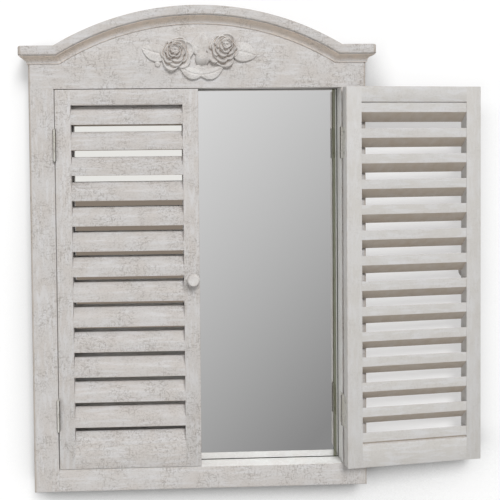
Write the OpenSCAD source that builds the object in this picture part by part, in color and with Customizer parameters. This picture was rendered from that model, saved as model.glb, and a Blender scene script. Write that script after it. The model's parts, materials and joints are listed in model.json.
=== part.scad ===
// Wall mirror shaped like a shuttered window: an arched frame with a crown moulding and a rose
// ornament, a mirror glass in its rebate, and two louvred shutter doors on butt hinges.
// Millimetres. X runs to the right, Y into the wall and Z up. The back of the frame lies in the
// plane Y = 0, and the origin is midway between the two hanging holes.
// At rest the left door is closed and the right door is folded back past its hinges.

/* [Frame] */
// Overall width of the frame
frame_w = 520; // [420:5:640]
// Depth of the frame from its front face to the wall
frame_d = 36; // [34:1:44]
// Width of each upright
stile_w = 39; // [34:1:50]
// Height of the bottom rail
sill_h = 35; // [28:1:50]
// Clear height of the opening
opening_h = 588; // [576:1:600]
// Radius on the frame's outer front edges
edge_r = 5; // [2:0.5:8]

/* [Crown] */
// Height of the header's front at its shoulders, from the opening up to the cap
shoulder_h = 49.5; // [46:0.5:70]
// Rise of the arch above the shoulders
arch_rise = 60; // [40:1:80]
// Half the width of the arch where it meets the shoulders
arch_half = 219; // [180:1:230]
// Thickness of the cap strip
cap_t = 14.5; // [10:0.5:20]
// How far the cap stands out past the frame's front and sides
cap_over = 13; // [12.5:0.5:24]
// Radius on the front corners of the cap's ends
cap_end_r = 8; // [2:0.5:8]
// Height of the cove under the cap
cove_h = 11.5; // [11.5:0.5:16]
// How far the cove stands out under the cap
cove_over = 10.5; // [8:0.5:12]
// Edge left at the top and the foot of the cove's hollow
cove_lip = 1.2; // [0.6:0.1:2]

/* [Mirror] */
// Depth from the frame's front face to the glass
recess_d = 22; // [20:0.5:24]
// Thickness of the glass
glass_t = 3; // [2:0.5:4]
// Thickness of the backing board
backing_t = 3; // [2:0.5:4]
// Width of the rebate behind the opening
rebate_w = 8; // [6:0.5:10]
// Gap round the glass in its rebate
glass_gap = 1; // [0.5:0.5:1.5]

/* [Shutter doors] */
// Thickness of a door
door_t = 14; // [12:0.5:15]
// Gap between a door and the frame, and between the closed doors
door_gap = 1; // [0.8:0.1:2]
// Width of a door's uprights
door_stile_w = 24; // [20:1:30]
// Height of a door's top rail
top_rail_h = 24; // [20:1:35]
// Height of a door's bottom rail
bottom_rail_h = 36; // [30:1:45]
// Angle of the open door at rest, from closed
open_angle = 185.5; // [90:0.5:187]

/* [Slats] */
// Number of slats in a door
slat_count = 14; // [10:1:14]
// Distance from one slat to the next
slat_pitch = 39; // [38:0.1:39.2]
// Height of a slat's upright faces
slat_face = 15.5; // [12:0.5:17]
// How far a slat falls from the inner side of the door to the outer
slat_drop = 17; // [10:0.5:17]
// How far the slats lie behind both faces of the door
slat_inset = 0.6; // [0.4:0.1:2]
// Radius on a slat's corners
slat_round = 0.6; // [0.5:0.1:2]
// Depth of the housing that holds a slat's end
slat_housing = 4; // [3:0.5:8]

/* [Hinges] */
// Length of a hinge
hinge_len = 48; // [40:1:60]
// Distance from the end of the opening to the nearest end of a hinge
hinge_end = 62; // [50:1:90]
// Outer diameter of the knuckles
barrel_d = 5; // [4.4:0.1:5.4]
// Diameter of the hinge pin
pin_d = 2.4; // [2:0.1:2.8]
// Clearance between the pin and the knuckles that turn on it
pin_clear = 0.05; // [0.02:0.01:0.1]
// Distance of the pin's centre in front of the doors
pin_offset = 3; // [2.8:0.1:4]
// Width of a leaf behind the face
leaf_w = 10; // [8:0.5:12]
// Number of knuckles
knuckle_count = 5; // [3:2:7]

/* [Knobs] */
// Diameter of a knob's head
knob_d = 20; // [14:0.5:20.5]
// Height of a knob above the door's face
knob_h = 16.5; // [12:0.5:17]
// Distance of a knob's middle from the edge where the doors meet
knob_in = 10.5; // [10.5:0.5:13]

/* [Hanging plates] */
// Distance between the two hanging holes
hanger_span = 360; // [240:10:400]
// Height of the hanging holes above the opening
hanger_up = 25; // [22:1:30]
// Radius of the hole that the wall screw's head enters
hanger_hole_r = 5; // [4:0.5:5]

/* [Hidden] */
$fn = 48;
half_w = frame_w / 2;
opening_half = half_w - stile_w;
front_y = -frame_d;
glass_y = front_y + recess_d;

// Heights, counted from the hanging holes
opening_top = -hanger_up;
opening_bottom = opening_top - opening_h;
frame_bottom = opening_bottom - sill_h;
cap_bottom = opening_top + shoulder_h;
cap_top = cap_bottom + cap_t;
cove_bottom = cap_bottom - cove_h;

// The arch is one circle, with its strips on the same centre
arch_r = (pow(arch_half, 2) + pow(arch_rise, 2)) / (2 * arch_rise);
arch_z = cap_top + arch_rise - arch_r;
header_r = arch_r - cap_t;
cove_r = header_r - cove_h;
function half_chord(r, z) = sqrt(pow(r, 2) - pow(z - arch_z, 2));

// Joinery of the frame
tenon_l = 12;
tenon_t = 12;
tenon_y = front_y + (recess_d - tenon_t) / 2;
sill_tenon_h = 20;
stile_tenon_w = 20;
foot_r = 3;

// Doors, drawn for the left side in the closed position
door_left = -opening_half + door_gap;
door_right = -door_gap / 2;
door_top = opening_top - door_gap;
door_bottom = opening_bottom + door_gap;
door_h = door_top - door_bottom;
door_mid = (door_top + door_bottom) / 2;
door_back = front_y + door_t;
slat_top = door_top - top_rail_h;
rail_top = door_bottom + bottom_rail_h;
door_tenon_l = 14;
door_tenon_t = 5;
door_shoulder = 4;

// Hinges
pin_x = -opening_half + door_gap / 2;
pin_y = front_y - pin_offset;
leaf_t = 0.98;
leaf_play = 0.02;
leaf_y = front_y + leaf_w;
knuckle_gap = 0.15;
knuckle_l = hinge_len / knuckle_count;
pin_head_r = 1.9;
pin_head_t = 0.8;
hinge_high = opening_top - hinge_end - hinge_len / 2;
hinge_low = opening_bottom + hinge_end + hinge_len / 2;
hinge_heights = [hinge_high, hinge_low];
hinge_screw_spread = 16;
hinge_screw_y = front_y + leaf_w * 0.55;
screw_head_r = 2.3;
screw_shank_r = 1.1;
screw_l = 9;

// Hanging plates
plate_w = 18;
plate_h = 38;
plate_t = 2;
plate_drop = 13;
pocket_w = 13;
pocket_up = 18;
pocket_down = 7;
pocket_d = 9;
keyhole_up = 10;
keyhole_r = 2.5;
hanger_screw_z = [-9.5, 21.5];

// Framer's tabs
tab_w = 9;
tab_l = 14;
tab_t = 0.6;
tab_in_wood = 5;
tab_y = glass_y + glass_t + backing_t;

// Ornament, with its places as [across, above the opening]. Roses: place, radius and how far the
// middle leans. Leaves: place of the root, length, width and direction. Buds: place and radius.
rose_places = [[-35, 57, 26, -3, 5], [37, 56, 25, 5, 8]];
leaf_places = [
    [-54, 52, 36, 16, 154], [56, 52, 36, 21, -7], [-1, 54, 37, 22, 74],
    [56, 60, 20, 10, 52], [0, 24, 34, 16, 164], [4, 24, 34, 16, 14], [3, 42, 27, 18, -92]
];
bud_places = [[3, 50, 12], [-61, 37, 5]];
petal_t = 1.5;
leaf_t2 = 1.1;
leaf_rise = 4;
relief_h = 13;

slat_numbers = [for (i = [1 : slat_count]) i];
function two_digits(i) = str(i < 10 ? "0" : "", i);
function slat_name(side, i) = str(side, "_slat_", two_digits(i));
function door_nodes(side) = concat(
    [for (part = ["hinge_stile", "meeting_stile", "top_rail", "bottom_rail"]) str(side, "_", part)],
    [for (i = slat_numbers) slat_name(side, i)],
    [for (part = ["knob", "hinge_leaves", "hinge_screws"]) str(side, "_", part)]
);

paint = "#cdcbc6";
aged_paint = "#b8aea2";
inner_paint = "#d2d0cd";
steel = "#9a9a98";

// ---------------------------------------------------------------- helpers

// A box given by its low corner and its high corner
module block(low, high) {
    translate(low) cube(high - low);
}

// The two sides of the frame: as drawn for the left, and mirrored for the right
module both_sides() {
    children();
    mirror([1, 0, 0]) children();
}

// Where the right door stands at rest: mirrored from the left one, and swung open on its pin
module open_right() {
    translate([-pin_x, pin_y, 0]) rotate([0, 0, open_angle]) translate([pin_x, -pin_y, 0])
        mirror([1, 0, 0]) children();
}

// Sweeps a profile drawn as [Y, Z] along X
module along_x(from, to) {
    translate([from, 0, 0]) rotate([90, 0, 90]) linear_extrude(to - from) children();
}

// Sweeps a profile drawn as [X, Z] along Y
module along_y(from, to) {
    translate([0, to, 0]) rotate([90, 0, 0]) linear_extrude(to - from) children();
}

// A convex outline with every corner rounded to the radius r
function corner(a, b, c, r) =
    let (u = (a - b) / norm(a - b), v = (c - b) / norm(c - b), half = acos(u * v) / 2,
         centre = b + (u + v) / norm(u + v) * r / sin(half),
         from = b + u * r / tan(half) - centre, to = b + v * r / tan(half) - centre)
    [for (k = [0 : 4])
        let (mix = from * (4 - k) + to * k) centre + mix / norm(mix) * r];
function rounded(points, r) =
    let (n = len(points))
    [for (i = [0 : n - 1])
        each corner(points[(i + n - 1) % n], points[i], points[(i + 1) % n], r)];

// A countersunk wood screw along +X, with its head's face at the origin
module wood_screw(length) {
    rotate([0, 90, 0]) {
        cylinder(h = leaf_t, r1 = screw_head_r, r2 = screw_shank_r);
        cylinder(h = length, r = screw_shank_r);
    }
}

// ---------------------------------------------------------------- frame

// Plan section of a board on the wall that reaches `half` to each side and `depth` forward, with its
// two outer front edges rounded to the radius r
module plan_section(half, depth, r) {
    difference() {
        translate([-half, -depth]) square([2 * half, depth]);
        both_sides() translate([-half, -depth]) difference() {
            translate([-1, -1]) square(r + 1);
            translate([r, r]) circle(r);
        }
    }
}
module frame_section() { plan_section(half_w, frame_d, edge_r); }

// Side section of the frame's foot, with its front edge rounded, as [Y, Z]
module foot_section() {
    translate([front_y, frame_bottom]) difference() {
        square([frame_d, opening_top - frame_bottom + tenon_l]);
        difference() {
            translate([-1, -1]) square(foot_r + 1);
            translate([foot_r, foot_r]) circle(foot_r);
        }
    }
}

// Frame stock between two places across and two heights, with the rounded edges
module frame_stock(x_from, x_to, z_from, z_to) {
    intersection() {
        translate([0, 0, z_from]) linear_extrude(z_to - z_from) frame_section();
        block([x_from, front_y - 1, z_from - 1], [x_to, 1, z_to + 1]);
    }
}

// The rebate that the glass and its backing lie in, as one block through all four sides
module rebate() {
    block([-opening_half - rebate_w, glass_y, opening_bottom - rebate_w],
          [opening_half + rebate_w, 1, opening_top + rebate_w]);
}

// Tenons between the bottom rail and the left stile, and the left stile and the header
module sill_tenon() {
    block([-opening_half - tenon_l, tenon_y, opening_bottom - rebate_w - sill_tenon_h],
          [-opening_half + 1, tenon_y + tenon_t, opening_bottom - rebate_w]);
}
module stile_tenon() {
    block([-half_w + edge_r + 3, tenon_y, opening_top - 1],
          [-half_w + edge_r + 3 + stile_tenon_w, tenon_y + tenon_t, opening_top + tenon_l]);
}

// Recesses for the fixed leaves and holes for their screws in the left stile
module frame_hinge_recesses() {
    for (z = hinge_heights) {
        block([-opening_half - leaf_t / 2 - 0.01, front_y - 1, z - hinge_len / 2],
              [-opening_half + 1, leaf_y, z + hinge_len / 2]);
        for (side = [-1, 1])
            translate([pin_x, hinge_screw_y, z + side * hinge_screw_spread])
                rotate([0, -90, 0]) cylinder(h = screw_l, r = screw_shank_r);
    }
}

module left_stile_shape() {
    difference() {
        union() {
            intersection() {
                frame_stock(-half_w, -opening_half, frame_bottom, opening_top);
                along_x(-half_w, -opening_half) foot_section();
            }
            stile_tenon();
        }
        rebate();
        sill_tenon();
        frame_hinge_recesses();
        tabs();
    }
}

module frame_left_stile() { color(paint) left_stile_shape(); }
module frame_right_stile() { color(paint) mirror([1, 0, 0]) left_stile_shape(); }

module frame_bottom_rail() {
    color(paint) difference() {
        union() {
            along_x(-opening_half, opening_half) intersection() {
                foot_section();
                translate([front_y, frame_bottom]) square([frame_d, sill_h]);
            }
            both_sides() sill_tenon();
        }
        rebate();
        tabs();
    }
}

// Front outline of the arched boards for an arch of radius r and shoulders at height z, as [X, Z]
module arched_outline(r, z, half, foot) {
    translate([-half, foot]) square([2 * half, z - foot]);
    intersection() {
        translate([0, arch_z]) circle(r, $fn = 180);
        translate([-half, z - 1]) square([2 * half, arch_rise + 2]);
    }
}

module frame_header() {
    color(paint) difference() {
        intersection() {
            along_y(front_y, 0) arched_outline(header_r, cap_bottom, half_w, opening_top);
            translate([0, 0, opening_top - 1]) linear_extrude(shoulder_h + arch_rise + 2)
                frame_section();
        }
        rebate();
        both_sides() stile_tenon();
        both_sides() hanger_pocket();
        tabs();
    }
}

module crown_cap() {
    cap_half = half_w + cap_over;
    cap_d = frame_d + cap_over;
    color(paint) intersection() {
        along_y(-cap_d, 0) difference() {
            arched_outline(arch_r, cap_top, cap_half, cap_bottom);
            arched_outline(header_r, cap_bottom, cap_half + 1, cap_bottom - 10);
        }
        translate([0, 0, cap_bottom - 1]) linear_extrude(cap_t + arch_rise + 2)
            plan_section(cap_half, cap_d, cap_end_r);
    }
}

// Cove profile as [out from the board's face, up], with solid wood as far as `behind`
module cove_profile(behind) {
    hollow_r = cove_over - cove_lip;
    difference() {
        translate([-behind, 0]) square([behind + cove_over, cove_h]);
        translate([cove_over, cove_h - cove_lip - hollow_r]) circle(hollow_r, $fn = 96);
        translate([cove_lip, -1]) square([cove_over, cove_h - cove_lip - hollow_r + 1]);
    }
}

// Front outline between the two mitres where the arch meets the shoulders, as [X, Z]
module between_mitres() {
    foot_x = half_chord(cove_r, cove_bottom);
    polygon([
        [-foot_x, cove_bottom - 1], [foot_x, cove_bottom - 1], [foot_x, cove_bottom],
        [arch_half, cap_top], [arch_half, cap_top + arch_rise],
        [-arch_half, cap_top + arch_rise], [-arch_half, cap_top], [-foot_x, cove_bottom]
    ]);
}

// The two shoulder coves: each a front run and a side run, mitred at the corner
module shoulder_coves() {
    reach = half_w + cove_over;
    both_sides() difference() {
        intersection() {
            along_x(-reach, -arch_half + 30)
                mirror([1, 0]) translate([frame_d, cove_bottom]) cove_profile(frame_d);
            along_y(front_y - cove_over - 1, 0)
                mirror([1, 0]) translate([half_w, cove_bottom]) cove_profile(half_w);
        }
        along_y(front_y - cove_over - 2, 1) between_mitres();
        translate([0, 0, cove_bottom - 1]) linear_extrude(cove_h + 2) frame_section();
    }
}

// The cove under the arch, turned about the arch's centre
module arch_cove() {
    sweep = asin(arch_half / arch_r) + 2;
    intersection() {
        translate([0, 0, arch_z]) rotate([90, 0, 0]) rotate([0, 0, 90 - sweep])
            rotate_extrude(angle = 2 * sweep, $fn = 180)
                translate([cove_r, frame_d]) mirror([1, -1]) cove_profile(0);
        along_y(front_y - cove_over - 1, 1) between_mitres();
    }
}

module crown_cove_arch() { color(aged_paint) arch_cove(); }
module crown_cove_shoulders() { color(aged_paint) shoulder_coves(); }

// ---------------------------------------------------------------- ornament

// A small bead, which petals and leaves are stretched over
module bead(x, y, z, r) {
    translate([x, y, z]) sphere(r, $fn = 7);
}

// One petal that leans out from the middle of a rose and curls up along its rim
module petal(root, reach, rise, spread) {
    hull() {
        bead(root, 0, rise * 0.45, petal_t);
        for (t = [-1 : 0.5 : 1])
            bead(reach * (1 - 0.1 * t * t) * cos(spread * t), reach * sin(spread * t),
                 rise * (1 - 0.2 * t * t), petal_t * 0.8);
    }
}

// A ring of petals, turned from the one below it
module petal_ring(count, root, reach, rise, spread, turn) {
    for (i = [0 : count - 1])
        rotate(360 / count * i + turn) petal(root, reach, rise + (i % 2) * 0.7, spread);
}

// A rose seen from the front: two rings of open petals round a cup of closed ones
module rose(r, lean) {
    cylinder(h = relief_h * 0.5, r1 = r * 0.82, r2 = r * 0.6, $fn = 28);
    petal_ring(6, r * 0.3, r - 1, relief_h * 0.5, 34, 8);
    translate(lean * 0.35) petal_ring(5, r * 0.2, r * 0.72, relief_h * 0.78, 36, 40);
    translate(lean * 0.7) petal_ring(4, r * 0.12, r * 0.46, relief_h * 0.97, 38, 15);
    translate(lean) {
        cylinder(h = relief_h * 0.98, r1 = r * 0.3, r2 = r * 0.17, $fn = 16);
        for (i = [0 : 2]) rotate(120 * i + 50) hull() for (t = [-1 : 0.5 : 1])
            bead(r * 0.22 - t * t * 2, t * r * 0.17, relief_h * 1.02 - t, petal_t * 0.7);
    }
}

// A pointed leaf along X, of length l and width w, with a groove along its middle
module leaf(l, w) {
    for (side = [-1, 1]) hull() {
        bead(0.6, side * 0.4, 2.2, leaf_t2);
        bead(l - 1, side * 0.4, 2.4, leaf_t2);
        for (t = [0.2 : 0.2 : 0.8])
            bead(l * t, side * (w / 2 - leaf_t2) * sin(180 * pow(t, 0.8)), leaf_rise, leaf_t2);
        for (t = [0.1, 0.5, 0.9]) bead(l * t, side * 0.6, 1, leaf_t2);
    }
}

// A half-open bud, with its sepals round the root
module rose_bud(r) {
    hull() {
        bead(0, 0, r * 0.5, r * 0.5);
        translate([0, r * 0.1, r * 0.35]) sphere(r * 0.85, $fn = 16);
    }
    for (turn = [-90 : 60 : 30]) rotate(turn) petal(r * 0.3, r * 0.98, r * 0.6, 26);
}

module rose_ornament() {
    color(paint) translate([0, front_y, opening_top]) rotate([90, 0, 0]) intersection() {
        union() {
            for (p = rose_places) translate([p[0], p[1], 0]) rose(p[2], [p[3], p[4], 0]);
            for (p = leaf_places) translate([p[0], p[1], 0]) rotate(p[4]) leaf(p[2], p[3]);
            for (p = bud_places) translate([p[0], p[1], 0]) rose_bud(p[2]);
        }
        translate([-half_w, 0, 0]) cube([frame_w, shoulder_h + arch_rise, relief_h * 2]);
    }
}

// ---------------------------------------------------------------- glass and back

// A sheet that fills the rebate, from one depth to another
module sheet(y_from, y_to) {
    edge = rebate_w - glass_gap;
    block([-opening_half - edge, y_from, opening_bottom - edge],
          [opening_half + edge, y_to, opening_top + edge]);
}

module mirror_glass() { color("silver") sheet(glass_y, glass_y + glass_t); }
module backing_board() { color("#8a6f52") sheet(glass_y + glass_t, tab_y); }

// Framer's tabs round the back of the board: half in the wood, half over the board
module tabs() {
    wood = rebate_w + tab_in_wood;
    for (z = [opening_bottom + 90 : (opening_h - 180) / 3 : opening_top - 89])
        both_sides() block([-opening_half - wood, tab_y, z - tab_w / 2],
                           [-opening_half - wood + tab_l, tab_y + tab_t, z + tab_w / 2]);
    for (x = [-opening_half / 2, opening_half / 2]) {
        block([x - tab_w / 2, tab_y, opening_bottom - wood],
              [x + tab_w / 2, tab_y + tab_t, opening_bottom - wood + tab_l]);
        block([x - tab_w / 2, tab_y, opening_top + wood - tab_l],
              [x + tab_w / 2, tab_y + tab_t, opening_top + wood]);
    }
}

module backing_tabs() { color(steel) tabs(); }

// Front outline of a hanging plate about its hole, as [X, Z]
module plate_outline() {
    translate([-plate_w / 2, -plate_drop]) square([plate_w, plate_h]);
}

// The left plate's bed in the header, the pocket behind it and its screw holes
module hanger_pocket() {
    translate([-hanger_span / 2, 0, 0]) {
        along_y(-plate_t, 1) plate_outline();
        along_y(-plate_t - pocket_d, 0)
            translate([-pocket_w / 2, -pocket_down]) square([pocket_w, pocket_down + pocket_up]);
        for (z = hanger_screw_z) hanger_screw_shape(z);
    }
}

module hanger_screw_shape(z) {
    translate([0, 0, z]) rotate([0, 0, -90]) wood_screw(14);
}

module hanger_plates() {
    color(steel) both_sides() translate([-hanger_span / 2, 0, 0]) difference() {
        along_y(-plate_t, 0) plate_outline();
        along_y(-plate_t - 1, 1) circle(hanger_hole_r);
        along_y(-plate_t - 1, 1) translate([-keyhole_r, 0]) square([2 * keyhole_r, keyhole_up]);
        along_y(-plate_t - 1, 1) translate([0, keyhole_up]) circle(keyhole_r);
        for (z = hanger_screw_z) hanger_screw_shape(z);
    }
}

module hanger_screws() {
    color(steel) both_sides() translate([-hanger_span / 2, 0, 0])
        for (z = hanger_screw_z) hanger_screw_shape(z);
}

// ---------------------------------------------------------------- hinges

// The knuckles of one leaf, from the top down: every second one, from `first` on
module knuckles(first, bore_r) {
    for (i = [first : 2 : knuckle_count - 1])
        translate([0, 0, hinge_len / 2 - (i + 1) * knuckle_l + knuckle_gap / 2]) difference() {
            cylinder(h = knuckle_l - knuckle_gap, r = barrel_d / 2);
            translate([0, 0, -1]) cylinder(h = knuckle_l + 2, r = bore_r);
        }
}

// One leaf about its pin: a plate behind the barrel, cut back round the other leaf's knuckles
module hinge_leaf(first, bore_r, x_from, x_to) {
    knuckles(first, bore_r);
    difference() {
        block([x_from, 0, -hinge_len / 2], [x_to, leaf_y - pin_y, hinge_len / 2]);
        translate([0, 0, -hinge_len]) cylinder(h = 2 * hinge_len, r = barrel_d / 2 - 0.5);
        for (i = [1 - first : 2 : knuckle_count - 1])
            translate([0, 0, hinge_len / 2 - (i + 1) * knuckle_l - knuckle_gap / 2])
                cylinder(h = knuckle_l + knuckle_gap, r = barrel_d / 2 + 0.25);
    }
}

// The fixed leaf of a left hinge, and the moving one, each with its screw holes
module fixed_leaf(z) {
    difference() {
        translate([pin_x, pin_y, z])
            hinge_leaf(0, pin_d / 2 + pin_clear, -leaf_t - leaf_play / 2, -leaf_play / 2);
        fixed_screws(z);
    }
}
module moving_leaf(z) {
    difference() {
        translate([pin_x, pin_y, z])
            hinge_leaf(1, pin_d / 2 + pin_clear, leaf_play / 2, leaf_t + leaf_play / 2);
        moving_screws(z);
    }
}
module fixed_screws(z) {
    for (side = [-1, 1])
        translate([pin_x - leaf_play / 2, hinge_screw_y, z + side * hinge_screw_spread])
            mirror([1, 0, 0]) wood_screw(screw_l);
}
module moving_screws(z) {
    for (side = [-1, 1])
        translate([pin_x + leaf_play / 2, hinge_screw_y, z + side * hinge_screw_spread])
            wood_screw(screw_l);
}

module frame_hinge_leaves() { color(aged_paint) both_sides() for (z = hinge_heights) fixed_leaf(z); }
module frame_hinge_screws() { color(steel) both_sides() for (z = hinge_heights) fixed_screws(z); }

// Pins with a small head at both ends, seated on the outermost knuckles
module hinge_pins() {
    color(steel) both_sides() for (z = hinge_heights) translate([pin_x, pin_y, z]) {
        body = hinge_len - knuckle_gap;
        translate([0, 0, -body / 2 - pin_head_t])
            cylinder(h = body + 2 * pin_head_t, r = pin_d / 2);
        for (end = [-body / 2 - pin_head_t, body / 2])
            translate([0, 0, end]) cylinder(h = pin_head_t, r = pin_head_r);
    }
}

// ---------------------------------------------------------------- doors

// Section of a slat as [Y, Z]: upright faces, and slanted faces that fall to the outside
function slat_section(top) =
    let (inner = door_back - slat_inset, outer = front_y + slat_inset,
         fall = slat_drop * (door_t - 2 * slat_inset) / door_t)
    rounded([[inner, top], [outer, top - fall], [outer, top - fall - slat_face],
             [inner, top - slat_face]], slat_round);

// One slat of the left door, with its ends in the stiles. The last is cut to lie on the rail.
module slat_shape(i) {
    from = door_left + door_stile_w - slat_housing;
    to = door_right - door_stile_w + slat_housing;
    intersection() {
        along_x(from, to) polygon(slat_section(slat_top - (i - 1) * slat_pitch));
        block([from - 1, front_y - 1, rail_top], [to + 1, door_back + 1, door_top]);
    }
}

// The rails' tenons, which enter the stiles: [low, high] heights of each
rail_tenons = [
    [door_bottom + door_shoulder, rail_top - door_shoulder],
    [slat_top + door_shoulder, door_top - door_shoulder]
];
module door_tenon(heights) {
    y = front_y + (door_t - door_tenon_t) / 2;
    block([door_left + door_stile_w - door_tenon_l, y, heights[0]],
          [door_right - door_stile_w + door_tenon_l, y + door_tenon_t, heights[1]]);
}

module door_stile_shape(from) {
    difference() {
        block([from, front_y, door_bottom], [from + door_stile_w, door_back, door_top]);
        for (i = slat_numbers) slat_shape(i);
        for (heights = rail_tenons) door_tenon(heights);
    }
}

// The upright on the hinge side, with its leaf recesses and screw holes
module hinge_stile_shape() {
    difference() {
        door_stile_shape(door_left);
        for (z = hinge_heights) {
            block([door_left - 1, front_y - 1, z - hinge_len / 2],
                  [door_left + leaf_t / 2 + 0.01, leaf_y, z + hinge_len / 2]);
            moving_screws(z);
        }
    }
}

// The upright where the doors meet, with the knob's dowel hole
module meeting_stile_shape() {
    difference() {
        door_stile_shape(door_right - door_stile_w);
        knob_shape();
    }
}

module door_rail_shape(from, to, heights) {
    difference() {
        union() {
            block([door_left + door_stile_w, front_y, from],
                  [door_right - door_stile_w, door_back, to]);
            door_tenon(heights);
        }
        slat_shape(slat_count);
    }
}
module top_rail_shape() { door_rail_shape(slat_top, door_top, rail_tenons[1]); }
module bottom_rail_shape() { door_rail_shape(door_bottom, rail_top, rail_tenons[0]); }

// A turned knob: a foot, a neck, a round head and a dowel into the door
module knob_shape() {
    head_r = knob_d / 2;
    foot_r = head_r * 0.62;
    neck_r = head_r * 0.42;
    dowel_r = 3;
    dowel_l = 9;
    translate([door_right - knob_in, front_y, door_mid]) rotate([90, 0, 0])
        rotate_extrude() {
            translate([0, -dowel_l]) square([dowel_r, dowel_l + 1]);
            square([foot_r, 2]);
            square([neck_r, knob_h - 4]);
            intersection() {
                translate([0, knob_h - head_r * 0.6]) circle(head_r);
                translate([0, knob_h - 9]) square([head_r, 9]);
            }
        }
}

module left_hinge_stile() { color(paint) hinge_stile_shape(); }
module left_meeting_stile() { color(paint) meeting_stile_shape(); }
module left_top_rail() { color(paint) top_rail_shape(); }
module left_bottom_rail() { color(paint) bottom_rail_shape(); }
module left_slat(i) { color(paint) slat_shape(i); }
module left_knob() { color(paint) knob_shape(); }
module left_hinge_leaves() { color(aged_paint) for (z = hinge_heights) moving_leaf(z); }
module left_hinge_screws() { color(steel) for (z = hinge_heights) moving_screws(z); }

module right_hinge_stile() { color(inner_paint) open_right() hinge_stile_shape(); }
module right_meeting_stile() { color(inner_paint) open_right() meeting_stile_shape(); }
module right_top_rail() { color(inner_paint) open_right() top_rail_shape(); }
module right_bottom_rail() { color(inner_paint) open_right() bottom_rail_shape(); }
module right_slat(i) { color(inner_paint) open_right() slat_shape(i); }
module right_knob() { color(paint) open_right() knob_shape(); }
module right_hinge_leaves() { color(aged_paint) open_right() for (z = hinge_heights) moving_leaf(z); }
module right_hinge_screws() { color(steel) open_right() for (z = hinge_heights) moving_screws(z); }

frame_left_stile();
frame_right_stile();
frame_bottom_rail();
frame_header();
crown_cap();
crown_cove_arch();
crown_cove_shoulders();
rose_ornament();
mirror_glass();
backing_board();
backing_tabs();
hanger_plates();
hanger_screws();
frame_hinge_leaves();
hinge_pins();
frame_hinge_screws();
left_hinge_stile();
left_meeting_stile();
left_top_rail();
left_bottom_rail();
left_knob();
left_hinge_leaves();
left_hinge_screws();
right_hinge_stile();
right_meeting_stile();
right_top_rail();
right_bottom_rail();
right_knob();
right_hinge_leaves();
right_hinge_screws();
for (i = slat_numbers) {
    left_slat(i);
    right_slat(i);
}
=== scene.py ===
"""Looks of the shutter mirror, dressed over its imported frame.

Metres, +Z up. The object hangs on the wall plane Y = 0 and its front looks along -Y. Sizes that
the frame knows are read from it. The rest are named in millimetres where they are used.
"""
import json
import logging
import math
from dataclasses import dataclass, field
from enum import Enum
from functools import partial
from typing import Any, Callable, Iterable, Sequence

import bmesh
import bpy
import numpy as np
from bmesh.types import BMEdge, BMesh, BMVert
from bpy.types import Material, Mesh, NodeSocket, NodeTree, Object
from mathutils import Matrix, Vector


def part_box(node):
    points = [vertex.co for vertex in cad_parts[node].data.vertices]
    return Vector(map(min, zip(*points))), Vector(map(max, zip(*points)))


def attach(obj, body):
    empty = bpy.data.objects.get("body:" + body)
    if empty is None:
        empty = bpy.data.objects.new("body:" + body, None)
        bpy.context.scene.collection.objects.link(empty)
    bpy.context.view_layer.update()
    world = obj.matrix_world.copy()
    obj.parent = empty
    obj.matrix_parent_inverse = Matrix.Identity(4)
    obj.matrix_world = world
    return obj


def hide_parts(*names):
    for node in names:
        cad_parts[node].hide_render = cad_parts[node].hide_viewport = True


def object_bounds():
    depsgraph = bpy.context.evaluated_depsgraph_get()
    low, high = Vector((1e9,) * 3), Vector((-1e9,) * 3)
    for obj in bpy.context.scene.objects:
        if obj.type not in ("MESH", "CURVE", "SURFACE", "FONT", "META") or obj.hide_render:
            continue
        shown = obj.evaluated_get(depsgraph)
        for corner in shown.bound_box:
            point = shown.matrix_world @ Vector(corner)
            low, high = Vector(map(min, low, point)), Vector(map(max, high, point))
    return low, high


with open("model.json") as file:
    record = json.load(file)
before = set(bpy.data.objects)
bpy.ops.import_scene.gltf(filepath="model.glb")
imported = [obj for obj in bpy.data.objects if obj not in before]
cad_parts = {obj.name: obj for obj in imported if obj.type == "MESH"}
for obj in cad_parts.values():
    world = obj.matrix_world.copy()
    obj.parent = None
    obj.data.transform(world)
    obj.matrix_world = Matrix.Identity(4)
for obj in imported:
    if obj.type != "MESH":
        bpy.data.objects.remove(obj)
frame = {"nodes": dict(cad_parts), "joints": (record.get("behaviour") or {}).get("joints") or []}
CAD_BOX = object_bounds()

MM = 0.001
WELD = 5e-6
FLAT_DEG = 0.5
SHARP_DEG = 40
log = logging.getLogger("shutter_mirror")

Put = Callable[..., NodeSocket]
Place = tuple[float, float, float]
Bands = tuple[tuple[str, float, float], ...]


# ---- nodes


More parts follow.
